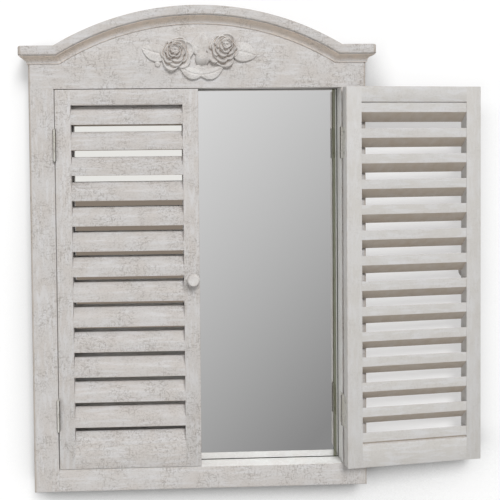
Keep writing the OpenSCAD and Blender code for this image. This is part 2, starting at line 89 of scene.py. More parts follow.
class Node(Enum):
    """Nodes that come up again and again: type, inputs in order, output and settings."""

    TIMES = ("ShaderNodeMath", (0, 1), 0, {"operation": "MULTIPLY"})
    LESS = ("ShaderNodeMath", (0, 1), 0, {"operation": "SUBTRACT"})
    MOST = ("ShaderNodeMath", (0, 1), 0, {"operation": "MAXIMUM"})
    TIMES_PLUS = ("ShaderNodeMath", (0, 1, 2), 0, {"operation": "MULTIPLY_ADD"})
    UNSIGNED = ("ShaderNodeMath", (0,), 0, {"operation": "ABSOLUTE"})
    RANGE = ("ShaderNodeMapRange", range(5), 0, {})
    BAND = ("ShaderNodeMapRange", range(3), 0, {"interpolation_type": "SMOOTHSTEP"})
    MIX = ("ShaderNodeMix", (0, 6, 7), 2, {"data_type": "RGBA"})
    NOISE = ("ShaderNodeTexNoise", ("Vector", "Scale", "Detail"), "Fac", {})
    SQUEEZE = ("ShaderNodeMapping", ("Vector", "Scale"), 0, {})
    PLACE = ("ShaderNodeTexCoord", (), "Object", {})
    SPLIT = ("ShaderNodeSeparateXYZ", (0,), 0, {})
    MARK = ("ShaderNodeAttribute", (), "Fac", {})
    BUMP = ("ShaderNodeBump", ("Strength", "Distance", "Height"), 0, {})
    PRINCIPLED = ("ShaderNodeBsdfPrincipled", (), 0, {})
    GLOW = ("ShaderNodeEmission", ("Color", "Strength"), 0, {})


def linear(code: str) -> tuple[float, float, float, float]:
    """Turns an sRGB colour into the linear one that shaders take.

    Args:
        code: The colour as #RRGGBB.
    Returns:
        Red, green, blue and an alpha of 1.
    """
    parts = [int(code[i:i + 2], 16) / 255 for i in (1, 3, 5)]
    red, green, blue = (c / 12.92 if c <= 0.04045 else ((c + 0.055) / 1.055) ** 2.4 for c in parts)
    return red, green, blue, 1.0


def lumps(put: Put, place: NodeSocket, size_mm: float, detail: int,
          band: tuple[float, float] | None = None) -> NodeSocket:
    """Draws noise with lumps of size_mm, or soft patches of it that rise from 0 to 1 over the band."""
    noise = put(Node.NOISE, place, 1 / (size_mm * MM), detail)
    return put(Node.BAND, noise, *band) if band else noise


def add(tree: NodeTree, kind: Node | str, *values: Any, **settings: Any) -> NodeSocket | None:
    """Adds one node with its settings and links to a shader or geometry tree.

    Args:
        tree: The tree that gets the node.
        kind: A recurring node, or a node's type name.
        values: Its inputs in order, or one dict of them by name or index. Each is a value, a colour
            as #RRGGBB or an output to link.
        settings: Its properties.
    Returns:
        The node's output, or None where it has none.
    """
    name, sockets, out, fixed = kind.value if isinstance(kind, Node) else (kind, range(9), 0, {})
    node = tree.nodes.new(name)
    for key, value in (fixed | settings).items():
        setattr(node, key, value)
    inputs = values[0] if values and isinstance(values[0], dict) else dict(zip(sockets, values))
    for key, value in inputs.items():
        if isinstance(value, NodeSocket):
            tree.links.new(value, node.inputs[key])
        else:
            is_colour = isinstance(value, str) and value.startswith("#")
            node.inputs[key].default_value = linear(value) if is_colour else value
    return node.outputs[out] if node.outputs else None


def made_of(name: str, surface: Callable[[Put], NodeSocket]) -> Material:
    """Makes a node material.

    Args:
        name: The finish's plain name.
        surface: Adds its nodes and gives the shader.
    Returns:
        The material.
    """
    material = bpy.data.materials.new(name)
    material.use_nodes = True
    material.node_tree.nodes.clear()
    put = partial(add, material.node_tree)
    put("ShaderNodeOutputMaterial", surface(put))
    return material


def geometry_tree(name: str, inputs: dict[str, str],
                  shape: Callable[[Put, Any], NodeSocket]) -> NodeTree:
    """Makes a geometry tree with named inputs.

    Args:
        name: Its name.
        inputs: The kinds of its inputs by name, after the geometry.
        shape: Adds its nodes from the inputs' sockets, and gives the geometry.
    Returns:
        The tree.
    """
    tree = bpy.data.node_groups.new(name, "GeometryNodeTree")
    for label, kind in {"Geometry": "Geometry", **inputs}.items():
        tree.interface.new_socket(label, in_out="INPUT", socket_type="NodeSocket" + kind)
    tree.interface.new_socket("Geometry", in_out="OUTPUT", socket_type="NodeSocketGeometry")
    put = partial(add, tree)
    put("NodeGroupOutput", shape(put, put("NodeGroupInput").node.outputs))
    return tree


def repeated(source: Object, tree: NodeTree, values: dict[str, Any], name: str) -> Object:
    """Runs a geometry tree on an object and keeps the plain result.

    Args:
        source: The object, which is used up.
        tree: The geometry tree.
        values: Its inputs by name.
        name: Name of the result.
    Returns:
        The plain piece, at the origin.
    """
    modifier = source.modifiers.new(name, "NODES")
    modifier.node_group = tree
    for item in tree.interface.items_tree:
        if item.in_out == "INPUT" and item.name in values:
            modifier[item.identifier] = values[item.name]
    return baked(source, name)


# ---- meshes


def shown(name: str, data: bpy.types.ID) -> Object:
    """Puts a mesh, lamp or camera into the scene, at the origin.

    Args:
        name: The object's name.
        data: The mesh, lamp or camera.
    Returns:
        The object.
    """
    thing = bpy.data.objects.new(name, data)
    bpy.context.scene.collection.objects.link(thing)
    return thing


def mesh_object(name: str, bm: BMesh, smooth_deg: float = 35) -> Object:
    """Makes a scene object of a bmesh, which is freed, with its faces turned outwards.

    Args:
        name: Name of the piece.
        bm: Its mesh, in its place.
        smooth_deg: Edges flatter than this shade smooth.
    Returns:
        The object, at the origin.
    """
    bmesh.ops.remove_doubles(bm, verts=bm.verts, dist=1e-6)
    bmesh.ops.recalc_face_normals(bm, faces=bm.faces)
    for edge in bm.edges:
        edge.smooth = len(edge.link_faces) == 2 and edge.calc_face_angle(0) < math.radians(smooth_deg)
    for face in bm.faces:
        face.smooth = True
    mesh = bpy.data.meshes.new(name)
    bm.to_mesh(mesh)
    bm.free()
    return shown(name, mesh)


def bmesh_of(mesh: Mesh) -> BMesh:
    """Gives an editable copy of a mesh.

    Args:
        mesh: The mesh.
    Returns:
        The copy.
    """
    bm = bmesh.new()
    bm.from_mesh(mesh)
    return bm


def merge(bm: BMesh) -> BMesh:
    """Joins a mesh's loose triangles into flat faces.

    Args:
        bm: The mesh, which is changed.
    Returns:
        The same mesh.
    """
    bmesh.ops.remove_doubles(bm, verts=bm.verts, dist=WELD)
    bmesh.ops.dissolve_limit(bm, angle_limit=math.radians(FLAT_DEG), verts=bm.verts, edges=bm.edges)
    return bm


def merged_node(node: str) -> BMesh:
    """Gives a copy of a CAD node's mesh with flat faces."""
    return merge(bmesh_of(frame["nodes"][node].data))


def skin(bm: BMesh, rings: Sequence[Sequence[BMVert]]) -> None:
    """Joins each ring of vertices to the next, or to a single vertex at an end.

    Args:
        bm: The mesh that gets the faces.
        rings: Its rings in order.
    """
    for one, two in zip(rings, rings[1:]):
        for k in range(max(len(one), len(two))):
            corners = [one[k % len(one)], one[(k + 1) % len(one)], two[(k + 1) % len(two)],
                       two[k % len(two)]]
            bm.faces.new(list(dict.fromkeys(corners)))


def lathe(bm: BMesh, line: Iterable[tuple[float, float]], turns: int,
          point: Callable[[float, float, float], Sequence[float]]) -> list[list[BMVert]]:
    """Turns a line round an axis.

    Args:
        bm: The mesh that gets the skin.
        line: Radius and rise of its points. The skin closes where the radius is 0.
        turns: Steps round the axis.
        point: Gives the place of a point from its two distances across and its rise.
    Returns:
        The rings of vertices, in the line's order.
    """
    angles = [2 * math.pi * k / turns for k in range(turns)]
    rings = [[bm.verts.new(point(radius * math.cos(a), radius * math.sin(a), rise))
              for a in angles[:turns if radius else 1]] for radius, rise in line]
    skin(bm, rings)
    return rings


def soften(bm: BMesh, radius: float, chosen: Callable[[BMEdge], bool]
           = lambda edge: True, steps: int = 2, short_too: bool = False) -> None:
    """Rounds the sharp edges of a board, and marks the rounded strips as worn.

    Args:
        bm: The board.
        radius: Radius of the rounding.
        chosen: Says which of the sharp edges take part.
        steps: Faces across the rounding.
        short_too: Whether edges shorter than the rounding take part, as round an arc.
    """
    worn = bm.faces.layers.float.new("worn")
    limit = math.radians(SHARP_DEG)
    sharp = {e for e in bm.edges if len(e.link_faces) == 2 and e.calc_face_angle(0) > limit}
    room = 0 if short_too else 2.2 * radius
    cramped = {v for e in sharp if e.calc_length() < room for v in e.verts}
    picked = [e for e in sharp if chosen(e) and not cramped.intersection(e.verts)]
    rounded = bmesh.ops.bevel(bm, geom=picked, offset=radius, segments=steps, profile=0.5,
                              affect="EDGES", clamp_overlap=False)
    for face in rounded["faces"]:
        face[worn] = 1.0


def baked(source: Object, name: str) -> Object:
    """Turns an object with live modifiers into a plain mesh object, and removes the first.

    Args:
        source: The object with its modifiers.
        name: Name of the plain piece.
    Returns:
        The plain piece, at the origin.
    """
    bpy.context.view_layer.update()
    evaluated = source.evaluated_get(bpy.context.evaluated_depsgraph_get())
    mesh = bpy.data.meshes.new_from_object(evaluated)
    mesh.name = name
    bpy.data.objects.remove(source)
    return shown(name, mesh)


def settle(piece: Object, body: str, nodes: Iterable[str],
           material: Material | None = None) -> None:
    """Hangs a finished piece on its body, for the CAD nodes that it stands for.

    Args:
        piece: The finished piece.
        body: The body that it moves with.
        nodes: The CAD nodes that it replaces.
        material: Its finish, unless the mesh has it.
    """
    if material:
        piece.data.materials.clear()
        piece.data.materials.append(material)
    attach(piece, body)
    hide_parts(*nodes)
    log.info("%s: %d faces on %s", piece.name, len(piece.data.polygons), body)


def dress(node: str, looks: str, bm: BMesh, body: str,
          material: Material | None = None, smooth_deg: float = 35) -> Object:
    """Makes the piece that stands for one CAD node.

    Args:
        node: The CAD node.
        looks: What ends the piece's name.
        bm, smooth_deg: As for mesh_object.
        body, material: As for settle.
    Returns:
        The piece.
    """
    piece = mesh_object(f"{node}_{looks}", bm, smooth_deg)
    settle(piece, body, [node], material)
    return piece


def coat_side(piece: Object, material: Material, way: Place, limit: float) -> None:
    """Gives one side of a piece another coat.

    Args:
        piece: The piece, with its first coat.
        material: The other coat.
        way: Where that side looks.
        limit: How squarely a face has to look there.
    """
    piece.data.materials.append(material)
    for face in piece.data.polygons:
        face.material_index = int(face.normal.dot(Vector(way)) > limit)


def block(middle: Vector, size: Vector) -> BMesh:
    """Makes a box.

    Args:
        middle: Its middle.
        size: Its three lengths.
    Returns:
        Its mesh.
    """
    bm = bmesh.new()
    bmesh.ops.create_cube(bm, size=1, matrix=Matrix.Translation(middle) @ Matrix.Diagonal((*size, 1)))
    return bm


# ---- finishes


class Grain(Enum):
    """Direction in which brush strokes and grain run, as the pattern's squeeze along X, Y, Z."""

    UPRIGHT = (1.0, 1.0, 0.55)
    ACROSS = (0.5, 1.0, 1.0)
    ROUND = (1.0, 1.0, 1.0)


@dataclass(frozen=True)
class Finish:
    """A finish with a plain name, whose surface adds its nodes."""

    name: str

    def surface(self, put: Put) -> NodeSocket:
        """Adds the nodes and gives the shader. Each finish has its own."""
        raise NotImplementedError

    def build(self) -> Material:
        """Builds the material."""
        return made_of(self.name, self.surface)


@dataclass(frozen=True)
class ChalkPaint(Finish):
    """Brushed chalk paint over pine, crackled, rubbed back and waxed.

    It gives the eye a dry, matt, broken white: faint cool and warm clouds, a fine tooth, short dark
    strokes and flecks that come and go in patches, and rubbed edges. Its aged colour is also painted
    shade on undersides and on corners that turn aside, painted light where a cove turns down, and wax
    and painted shade in hollows.
    """

    coat: str = "#C6C3C1"
    warm: str = "#C3BEBA"
    shade: str = "#AAA5A1"
    chalk: str = "#D4D4D6"
    wax: str = "#7D746C"
    # aged colour: bare priming on rubbed edges, and painted shade where faces look down or turn aside
    aged: str = "#B3A698"
    grain: Grain = Grain.UPRIGHT
    cloud_mm: float = 32.0
    patch_mm: float = 40.0
    stroke_mm: float = 3.4
    fleck_mm: float = 2.4
    tooth_mm: float = 1.7
    streak_mm: float = 5.0
    rubbed_mm: float = 9.0
    drip_mm: float = 12.0
    stroked: float = 0.5
    flecked: float = 0.3
    toothed: float = 0.5
    chalked: float = 0.35
    roughness: float = 0.72
    relief_mm: float = 0.45

    def surface(self, put: Put) -> NodeSocket:
        """Adds the coat's nodes.

        Args:
            put: Adds a node to the material.
        Returns:
            The shader.
        """
        place = put(Node.PLACE)
        brushed = put(Node.SQUEEZE, place, self.grain.value)
        patch = lumps(put, place, self.patch_mm, 3)
        strokes = put(Node.TIMES, self.crackle(put, place), put(Node.BAND, patch, 0.38, 0.60))
        fleck = lumps(put, brushed, self.fleck_mm, 3, (0.58, 0.68))
        flecks = put(Node.TIMES, fleck, put(Node.BAND, patch, 0.30, 0.58))
        waxed = put(Node.MOST, put(Node.TIMES, strokes, self.stroked),
                    put(Node.TIMES, flecks, self.flecked))
        tooth = lumps(put, brushed, self.tooth_mm, 3)
        cloud = lumps(put, place, self.cloud_mm, 3, (0.36, 0.64))
        tint = put(Node.MIX, cloud, self.coat, self.warm)
        worn = put(Node.TIMES, put(Node.BAND, tooth, 0.48, 0.72), self.toothed)
        plain = put(Node.MIX, worn, tint, self.shade)
        dragged = put(Node.SQUEEZE, place, tuple(c ** 3 for c in self.grain.value))
        streaks = lumps(put, dragged, self.streak_mm, 3, (0.50, 0.62))
        dry = put(Node.MIX, put(Node.TIMES, streaks, self.chalked), plain, self.chalk)
        aged = put(Node.MIX, self.age(put, place), dry, self.aged)
        colour = put(Node.MIX, waxed, aged, self.wax)
        height = put(Node.LESS, put(Node.TIMES, tooth, 0.5), put(Node.TIMES, waxed, 0.8))
        bump = put(Node.BUMP, 0.6, self.relief_mm * MM, height)
        return put(Node.PRINCIPLED, {"Base Color": colour, "Roughness": self.roughness, "IOR": 1.45,
                                     "Specular IOR Level": 0.35, "Normal": bump})

    def crackle(self, put: Put, place: NodeSocket) -> NodeSocket:
        """Draws short cracks, level and upright, about 1 mm wide, where the coat has split.

        Args:
            put: Adds a node to the material.
            place: The object's coordinates.
        Returns:
            1 in a crack and 0 on the coat.
        """
        ways = []
        for squeeze in ((0.32, 1.0, 1.0), (1.0, 1.0, 0.32)):
            laid = put(Node.SQUEEZE, place, squeeze)
            level = lumps(put, laid, self.stroke_mm, 2)
            far = put(Node.UNSIGNED, put(Node.LESS, level, 0.5))
            broken = lumps(put, laid, self.stroke_mm * 0.8, 1, (0.46, 0.60))
            ways.append(put(Node.TIMES, put(Node.BAND, far, 0.055, 0.01), broken))
        return put(Node.MOST, *ways)

    def age(self, put: Put, place: NodeSocket) -> NodeSocket:
        """Says where the aged colour shows: bare priming on rubbed edges, painted shade on faces that
        look down or aside, painted light where a cove turns down, and wax and painted shade in hollows.

        Args:
            put: Adds a node to the material.
            place: The object's coordinates.
        Returns:
            The share of the aged colour.
        """
        under, worn, hollow = (put(Node.MARK, attribute_name=name)
                               for name in ("underside", "worn", "hollow"))
        rubbed = lumps(put, place, self.rubbed_mm, 3, (0.42, 0.60))
        edges = put(Node.TIMES, put(Node.TIMES, worn, rubbed), 0.3)
        drips = put(Node.RANGE, lumps(put, place, self.drip_mm, 3), 0.3, 0.7, 0.7, 1.0)
        deep = put(Node.MOST, edges, hollow)
        # painted shade (on a cove painted light) on marked faces, wear on rubbed edges, wax and painted
        # shade in hollows
        return put(Node.MOST, put(Node.TIMES, under, drips), deep, use_clamp=True)


@dataclass(frozen=True)
class SilveredGlass(Finish):
    """Float glass silvered on its back: a clear grey reflection with a trace of dust.

    Its green edge and a painted contact shadow show as a dark line where it meets the frame, and a
    narrow olive strip along both uprights is a painted reflection of the frame's shaded sides.
    """

    name: str = "silvered_float_glass"
    silver: str = "#F4F4F4"
    dulled: str = "#A2A493"
    edge: str = "#3F463D"
    roughness: float = 0.012
    dust_mm: float = 60.0
    edge_mm: float = 1.3
    dulled_mm: tuple[float, float] = (3.2, 7.6)

    def surface(self, put: Put) -> NodeSocket:
        """Adds the glass's nodes.

        Args:
            put: Adds a node to the material.
        Returns:
            The shader.
        """
        place = put(Node.PLACE)
        dust = lumps(put, place, self.dust_mm, 4)
        rough = put(Node.RANGE, dust, 0.45, 0.75, self.roughness, self.roughness * 3)
        half = -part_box("frame_left_stile")[1].x
        bottom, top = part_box("frame_bottom_rail")[1].z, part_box("frame_header")[0].z
        height = put(Node.SPLIT, place).node.outputs["Z"]
        aside = put(Node.UNSIGNED, height.node.outputs["X"])
        # painted reflection: an olive strip near each upright stands for the frame's shaded side seen in
        # the glass
        near, far = (half - mm * MM for mm in self.dulled_mm)
        strip = put(Node.TIMES, put(Node.BAND, aside, far - 0.6 * MM, far),
                    put(Node.BAND, aside, near + 0.8 * MM, near))
        # the glass's green edge and a painted contact shadow along the opening
        line = self.edge_mm * MM
        sides = put(Node.BAND, aside, half - line, half - line / 2)
        foot = put(Node.BAND, height, bottom + line, bottom + line / 2)
        head = put(Node.BAND, height, top - line, top - line / 2)
        rim = put(Node.MOST, sides, put(Node.MOST, foot, head))
        worn = put(Node.MIX, strip, self.silver, self.dulled)
        colour = put(Node.MIX, rim, worn, self.edge)
        return put(Node.PRINCIPLED, {"Base Color": colour, "Metallic": 1.0, "Roughness": rough})


@dataclass(frozen=True)
class PlatedSteel(Finish):
    """Zinc-plated steel: dull silver with a soft sheen, small spangles and a little grime."""

    name: str = "zinc_plated_steel"
    metal: str = "#B4B4B0"
    grime: str = "#6E6A62"
    roughness: float = 0.42
    spangle_mm: float = 3.0
    grime_mm: float = 11.0

    def surface(self, put: Put) -> NodeSocket:
        """Adds the steel's nodes.

        Args:
            put: Adds a node to the material.
        Returns:
            The shader.
        """
        place = put(Node.PLACE)
        spangle = lumps(put, place, self.spangle_mm, 2)
        dirt = lumps(put, place, self.grime_mm, 4, (0.5, 0.75))
        rough = put(Node.RANGE, spangle, 0.3, 0.7, self.roughness - 0.08, self.roughness + 0.12)
        return put(Node.PRINCIPLED, {
            "Base Color": put(Node.MIX, dirt, self.metal, self.grime), "Metallic": 1.0,
            "Roughness": rough, "Normal": put(Node.BUMP, 0.2, 0.1 * MM, spangle)})


@dataclass(frozen=True)
class Hardboard(Finish):
    """Pressed hardboard: dull brown with short fibres, darker flecks and a faint tooth."""

    name: str = "pressed_hardboard"
    board: str = "#8A6B4C"
    fibre: str = "#A5845F"
    fleck: str = "#5D452F"
    fibre_mm: float = 1.8
    fleck_mm: float = 4.0
    cloud_mm: float = 55.0

    def surface(self, put: Put) -> NodeSocket:
        """Adds the board's nodes.

        Args:
            put: Adds a node to the material.
        Returns:
            The shader.
        """
        place = put(Node.PLACE)
        laid = put(Node.SQUEEZE, place, (0.35, 1.0, 1.0))
        fibres = lumps(put, laid, self.fibre_mm, 5)
        clouds = lumps(put, place, self.cloud_mm, 3, (0.35, 0.7))
        ground = put(Node.MIX, put(Node.BAND, fibres, 0.4, 0.65), self.board, self.fibre)
        flecks = lumps(put, laid, self.fleck_mm, 2, (0.62, 0.74))
        colour = put(Node.MIX, put(Node.TIMES, flecks, clouds), ground, self.fleck)
        return put(Node.PRINCIPLED, {"Base Color": colour, "Roughness": 0.62, "IOR": 1.5,
                                     "Normal": put(Node.BUMP, 0.3, 0.2 * MM, fibres)})


INNER_COAT = {"coat": "#CBC9C7", "warm": "#C7C4C0", "stroked": 0.1, "flecked": 0.08, "toothed": 0.15,
              "relief_mm": 0.25}


def of(kind: type[Finish], *given: Any, **looks: Any) -> Any:
    """Gives a field that builds a finish once, when the object's finishes are made."""
    return field(default_factory=lambda: kind(*given, **looks).build())


@dataclass
class Finishes:
    """The finishes of the whole object, built once."""

    uprights: Material = of(ChalkPaint, "chalk_paint_upright")
    across: Material = of(ChalkPaint, "chalk_paint_across", grain=Grain.ACROSS)
    inner_upright: Material = of(ChalkPaint, "chalk_paint_inner_upright", chalked=0.25, **INNER_COAT)
    inner_across: Material = of(ChalkPaint, "chalk_paint_inner_across", grain=Grain.ACROSS,
                                chalked=0.4, **INNER_COAT)
    # the relief's warm dark aged colour is wax and painted shade in its hollows
    relief: Material = of(
        ChalkPaint, "chalk_paint_on_cast", coat="#D5D2CF", aged="#9C8268", grain=Grain.ROUND,
        stroked=0.1, flecked=0.3, toothed=0.35, chalked=0.2, relief_mm=0.3)
    # the cove's light warm aged colour is painted light where it turns down, warm like waxed paint
    cove: Material = of(
        ChalkPaint, "waxed_chalk_paint", aged="#E2D3C5", grain=Grain.ACROSS, stroked=0.35)
    # painted light: a lighter, cleaner coat on the sill's top and the inner faces of the uprights
    reveal: Material = of(
        ChalkPaint, "chalk_paint_reveal", coat="#D7D7D5", warm="#D4D2CF", shade="#BFBBB5",
        chalk="#E0E0DF", grain=Grain.ROUND, stroked=0.12, flecked=0.1, toothed=0.2, relief_mm=0.25)
    # the hinge's dark aged colour is painted shadow on the sides of its round parts
    hinge: Material = of(
        ChalkPaint, "chalk_paint_on_steel", coat="#C6C4BD", warm="#BEBBB1", aged="#4A453E",
        stroke_mm=3.0, roughness=0.6, relief_mm=0.2)
    glass: Material = of(SilveredGlass)
    steel: Material = of(PlatedSteel)
    backing: Material = of(Hardboard)


# ---- frame


@dataclass
class WallFrame:
    """The fixed frame: its boards, crown moulding, glass and back."""

    finishes: Finishes
    body: str = "frame"
    edge_radius: float = 1.0 * MM
    cap_radius: float = 2.0 * MM
    recess: float = 0.6 * MM
    # share of painted shade on rounded corners that turn sideways
    turned_wax: float = 0.6
    square: float = 0.9

    def build(self) -> None:
        """Dresses every piece of the frame."""
        self.stile("frame_left_stile", 1)
        self.stile("frame_right_stile", -1)
        rail = self.board("frame_bottom_rail", self.finishes.across, self.edge_radius)
        # painted light on the sill's top
        coat_side(rail, self.finishes.reveal, (0, 0, 1), self.square)
        self.board("frame_header", self.finishes.across, self.edge_radius)
        self.board("crown_cap", self.finishes.across, self.cap_radius, round_arc=True)
        self.cove("crown_cove_arch")
        self.cove("crown_cove_shoulders")
        for node, material in (("mirror_glass", self.finishes.glass),
                               ("backing_board", self.finishes.backing)):
            materials = frame["nodes"][node].data.materials
            materials.clear()
            materials.append(material)
        for node in ("backing_tabs", "hanger_plates"):
            dress(node, "plated", merged_node(node), self.body, self.finishes.steel)

    def paint(self, node: str, bm: BMesh, material: Material) -> Object:
        """Makes the painted piece of a wooden node."""
        return dress(node, "painted", bm, self.body, material)

    def board(self, node: str, material: Material, radius: float, round_arc: bool = False) -> Object:
        """Gives a CAD board softened edges and its finish.

        Args:
            node: The CAD node.
            material: Its finish.
            radius: Radius on its edges.
            round_arc: Whether its edges run round arcs of short steps.
        Returns:
            The finished board.
        """
        bm = merged_node(node)
        self.mark_turned(bm)
        soften(bm, radius, steps=4 if round_arc else 2, short_too=round_arc)
        return self.paint(node, bm, material)

    def mark_turned(self, bm: BMesh) -> None:
        """Marks the rounded outer corners that turn sideways, for painted shade.

        Args:
            bm: The board.
        """
        wax = bm.faces.layers.float.new("underside")
        bmesh.ops.recalc_face_normals(bm, faces=bm.faces)
        for face in bm.faces:
            # painted shade: rounded corners that turn sideways take the darker aged colour
            if 0.3 < abs(face.normal.x) < 0.995 and face.normal.y < -0.05 and abs(face.normal.z) < 0.1:
                face[wax] = self.turned_wax

    def cove(self, node: str) -> None:
        """Gives a cove its finish, with painted light where it turns down.

        Args:
            node: The CAD node.
        """
        bm = merged_node(node)
        under = bm.verts.layers.float.new("underside")
        bmesh.ops.recalc_face_normals(bm, faces=bm.faces)
        bm.normal_update()
        # painted light: faces that turn down take the cove's lighter, warm aged colour
        for v in bm.verts:
            down = max(-face.normal.z for face in v.link_faces)
            v[under] = min(max((down - 0.15) / 0.5, 0), 1)
        self.paint(node, bm, self.finishes.cove)

    def stile(self, node: str, inwards: int) -> None:
        """Gives an upright softened edges. Its shallow hinge beds are filled to do so.

        Args:
            node: The CAD node.
            inwards: 1 where the opening is on the side of +X, else -1.
        """
        bm = merged_node(node)
        face = max(v.co.x * inwards for v in bm.verts if v.co.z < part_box("frame_header")[0].z - MM
                   and v.co.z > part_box("mirror_glass")[0].z + 20 * MM)
        for v in bm.verts:
            if 0 < face - v.co.x * inwards < self.recess:
                v.co.x = face * inwards
        merge(bm)
        self.mark_turned(bm)
        soften(bm, self.edge_radius)
        piece = self.paint(node, bm, self.finishes.uprights)
        # painted light on the upright's inner face
        coat_side(piece, self.finishes.reveal, (inwards, 0, 0), self.square)


# ---- ornament


@dataclass(frozen=True)
class Rose:
    """An open rose seen from the front, in millimetres from the middle of the opening's top."""

    x: float
    up: float
    radius: float
    lean: tuple[float, float]
    turn: float


@dataclass(frozen=True)
class Leaf:
    """A pointed leaf: its root, length, width, direction and sideways bend."""

    x: float
    up: float
    length: float
    width: float
    angle: float
    bend: float
    height: float = 5.0


@dataclass(frozen=True)
class Bud:
    """A closed bud: its middle, radius and height."""

    x: float
    up: float
    radius: float
    height: float
    turn: float = 0.0


@dataclass
class RoseRelief:
    """The cast ornament of roses, leaves and buds, as one carved surface.

    Every petal and leaf is a height above the board, and the highest one shows, so that edges
    stand out over what lies under them as in a cast.
    """

    finishes: Finishes
    step_mm: float = 0.5
    top_mm: float = 14.6
    ruffle: float = 0.065
    sunk_mm: float = 0.4
    foot_mm: float = 0.55
    roses: tuple[Rose, ...] = (
        Rose(-33.5, 52.5, 25.5, (-2, 5), 20),
        Rose(37.5, 57, 24.8, (6, 8), 65),
    )
    leaves: tuple[Leaf, ...] = (
        Leaf(-46, 49, 42, 27, 163, 2, 3.8),
        Leaf(50, 57, 41, 30, -12, 2, 4.4),
        Leaf(0, 48, 38, 27, 76, 2, 4.4),
        Leaf(54, 62, 20, 11, 52, 3, 3.0),
        Leaf(7, 20, 37, 18, 160, 8, 5.0),
        Leaf(2, 20, 39, 18, 18, -8, 5.0),
        Leaf(5.5, 38, 22, 21, -91, 0, 4.2),
    )
    buds: tuple[Bud, ...] = (Bud(6.8, 44.5, 11.4, 9.5, 215), Bud(-62, 36.5, 4.6, 3.4, 30))

    def build(self) -> None:
        """Makes the relief and hangs it on the header."""
        low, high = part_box("rose_ornament")
        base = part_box("frame_header")[0]
        xs = np.arange(math.floor(low.x / MM) - 1, math.ceil(high.x / MM) + 2, self.step_mm)
        ups = np.arange(math.floor((low.z - base.z) / MM) - 1, math.ceil((high.z - base.z) / MM) + 2,
                        self.step_mm)
        x, up = np.meshgrid(xs, ups, indexing="ij")
        height = self.height(x, up)
        # wax and painted shade in the relief's hollows, where it lies below its blurred surroundings
        hollow = np.clip((self.blurred(height, 20) - height - 0.35) / 2.4, 0, 0.75) * (height > 0.4)
        piece = self.surface(x, up, height, hollow, base)
        settle(piece, "frame", ["rose_ornament"], self.finishes.relief)

    def height(self, x: np.ndarray, up: np.ndarray) -> np.ndarray:
        """Gives the height of the relief above the board.

        Args:
            x: Places across, in millimetres.
            up: Places above the opening.
        Returns:
            The heights in millimetres, 0 or less on the bare board.
        """
        height = np.full(x.shape, -1.0)
        for carve, parts in ((self.leaf, self.leaves), (self.bud, self.buds), (self.rose, self.roses)):
            for part in parts:
                height = np.maximum(height, carve(part, x, up))
        return self.blurred(height, 1)

    @staticmethod
    def blurred(height: np.ndarray, passes: int) -> np.ndarray:
        """Softens a height field.

        Args:
            height: The field.
            passes: How often each place takes part of its neighbours' height.
        Returns:
            The softened field.
        """
        soft = height.copy()
        for _ in range(passes):
            padded = np.pad(soft, 1, mode="edge")
            around = padded[:-2, 1:-1] + padded[2:, 1:-1] + padded[1:-1, :-2] + padded[1:-1, 2:]
            soft = soft * 0.5 + around * 0.125
        return soft

    def petal(self, dx: np.ndarray, dy: np.ndarray, reach: float, aim: float, spread: float,
              low: float, high: float, ruffle: float) -> np.ndarray:
        """One petal that stands round the middle of a rose.

        Args:
            dx, dy: Places from the petal ring's middle.
            reach: Distance of the petal's rim from the middle.
            aim: Direction of the petal, in degrees.
            spread: Half the angle that it takes.
            low, high: Height at its root and at its rim.
            ruffle: Phase of the waves along the rim.
        Returns:
            Its height, and -1 outside it.
        """
        far = np.hypot(dx, dy)
        off = (np.degrees(np.arctan2(dy, dx)) - aim + 180) % 360 - 180
        share = off / spread
        wave = np.cos(np.radians(off) * 360 / spread / 1.7 + ruffle)
        rim = reach * (1 - 0.20 * np.abs(share) ** 3 + self.ruffle * wave)
        along = far / rim
        cup = low + (high - low) * np.clip(along, 0, 1) ** 3.2
        lip = 1.5 * np.exp(-((along - 0.93) / 0.05) ** 2) * (1 + 0.5 * wave)
        crease = -0.7 * np.exp(-(share / 0.12) ** 2) * np.clip(along * 1.6 - 0.5, 0, 1)
        over = 1.1 * share
        inside = (np.abs(share) < 1) & (along < 1)
        return np.where(inside, cup + lip + crease + over, -1.0)

    def rose(self, rose: Rose, x: np.ndarray, up: np.ndarray) -> np.ndarray:
        """Builds a rose of rings of ruffled petals round a curled middle.

        Args:
            rose: Its place and size.
            x, up: Places on the board.
        Returns:
            Its height.
        """
        height = np.full(x.shape, -1.0)
        rings = ((5, 1.0, 0.0, 0.12, 0.42), (5, 0.79, 0.25, 0.26, 0.60), (4, 0.60, 0.5, 0.42, 0.76),
                 (4, 0.42, 0.75, 0.56, 0.89), (3, 0.27, 1.0, 0.70, 1.0))
        for ring, (count, reach, lean, low, high) in enumerate(rings):
            dx = x - rose.x - rose.lean[0] * lean
            dy = up - rose.up - rose.lean[1] * lean
            for k in range(count):
                aim = rose.turn + ring * 37 + k * 360 / count + 10 * math.sin(k * 5.3 + ring * 2.1)
                size = rose.radius * reach * (1 + 0.07 * math.sin(k * 2.1 + ring * 1.3 + rose.turn))
                height = np.maximum(height, self.petal(
                    dx, dy, size, aim, 230 / count, low * self.top_mm, high * self.top_mm - 1.5,
                    k * 1.7 + ring))
        dx, dy = x - rose.x - rose.lean[0], up - rose.up - rose.lean[1]
        far = np.hypot(dx, dy) / (rose.radius * 0.17)
        curl = np.cos(np.arctan2(dy, dx) - far * 4.2) * 1.1
        heart = np.where(far < 1, self.top_mm - 1.8 - 1.6 * far ** 2 + curl, -1.0)
        return np.maximum(height, heart)

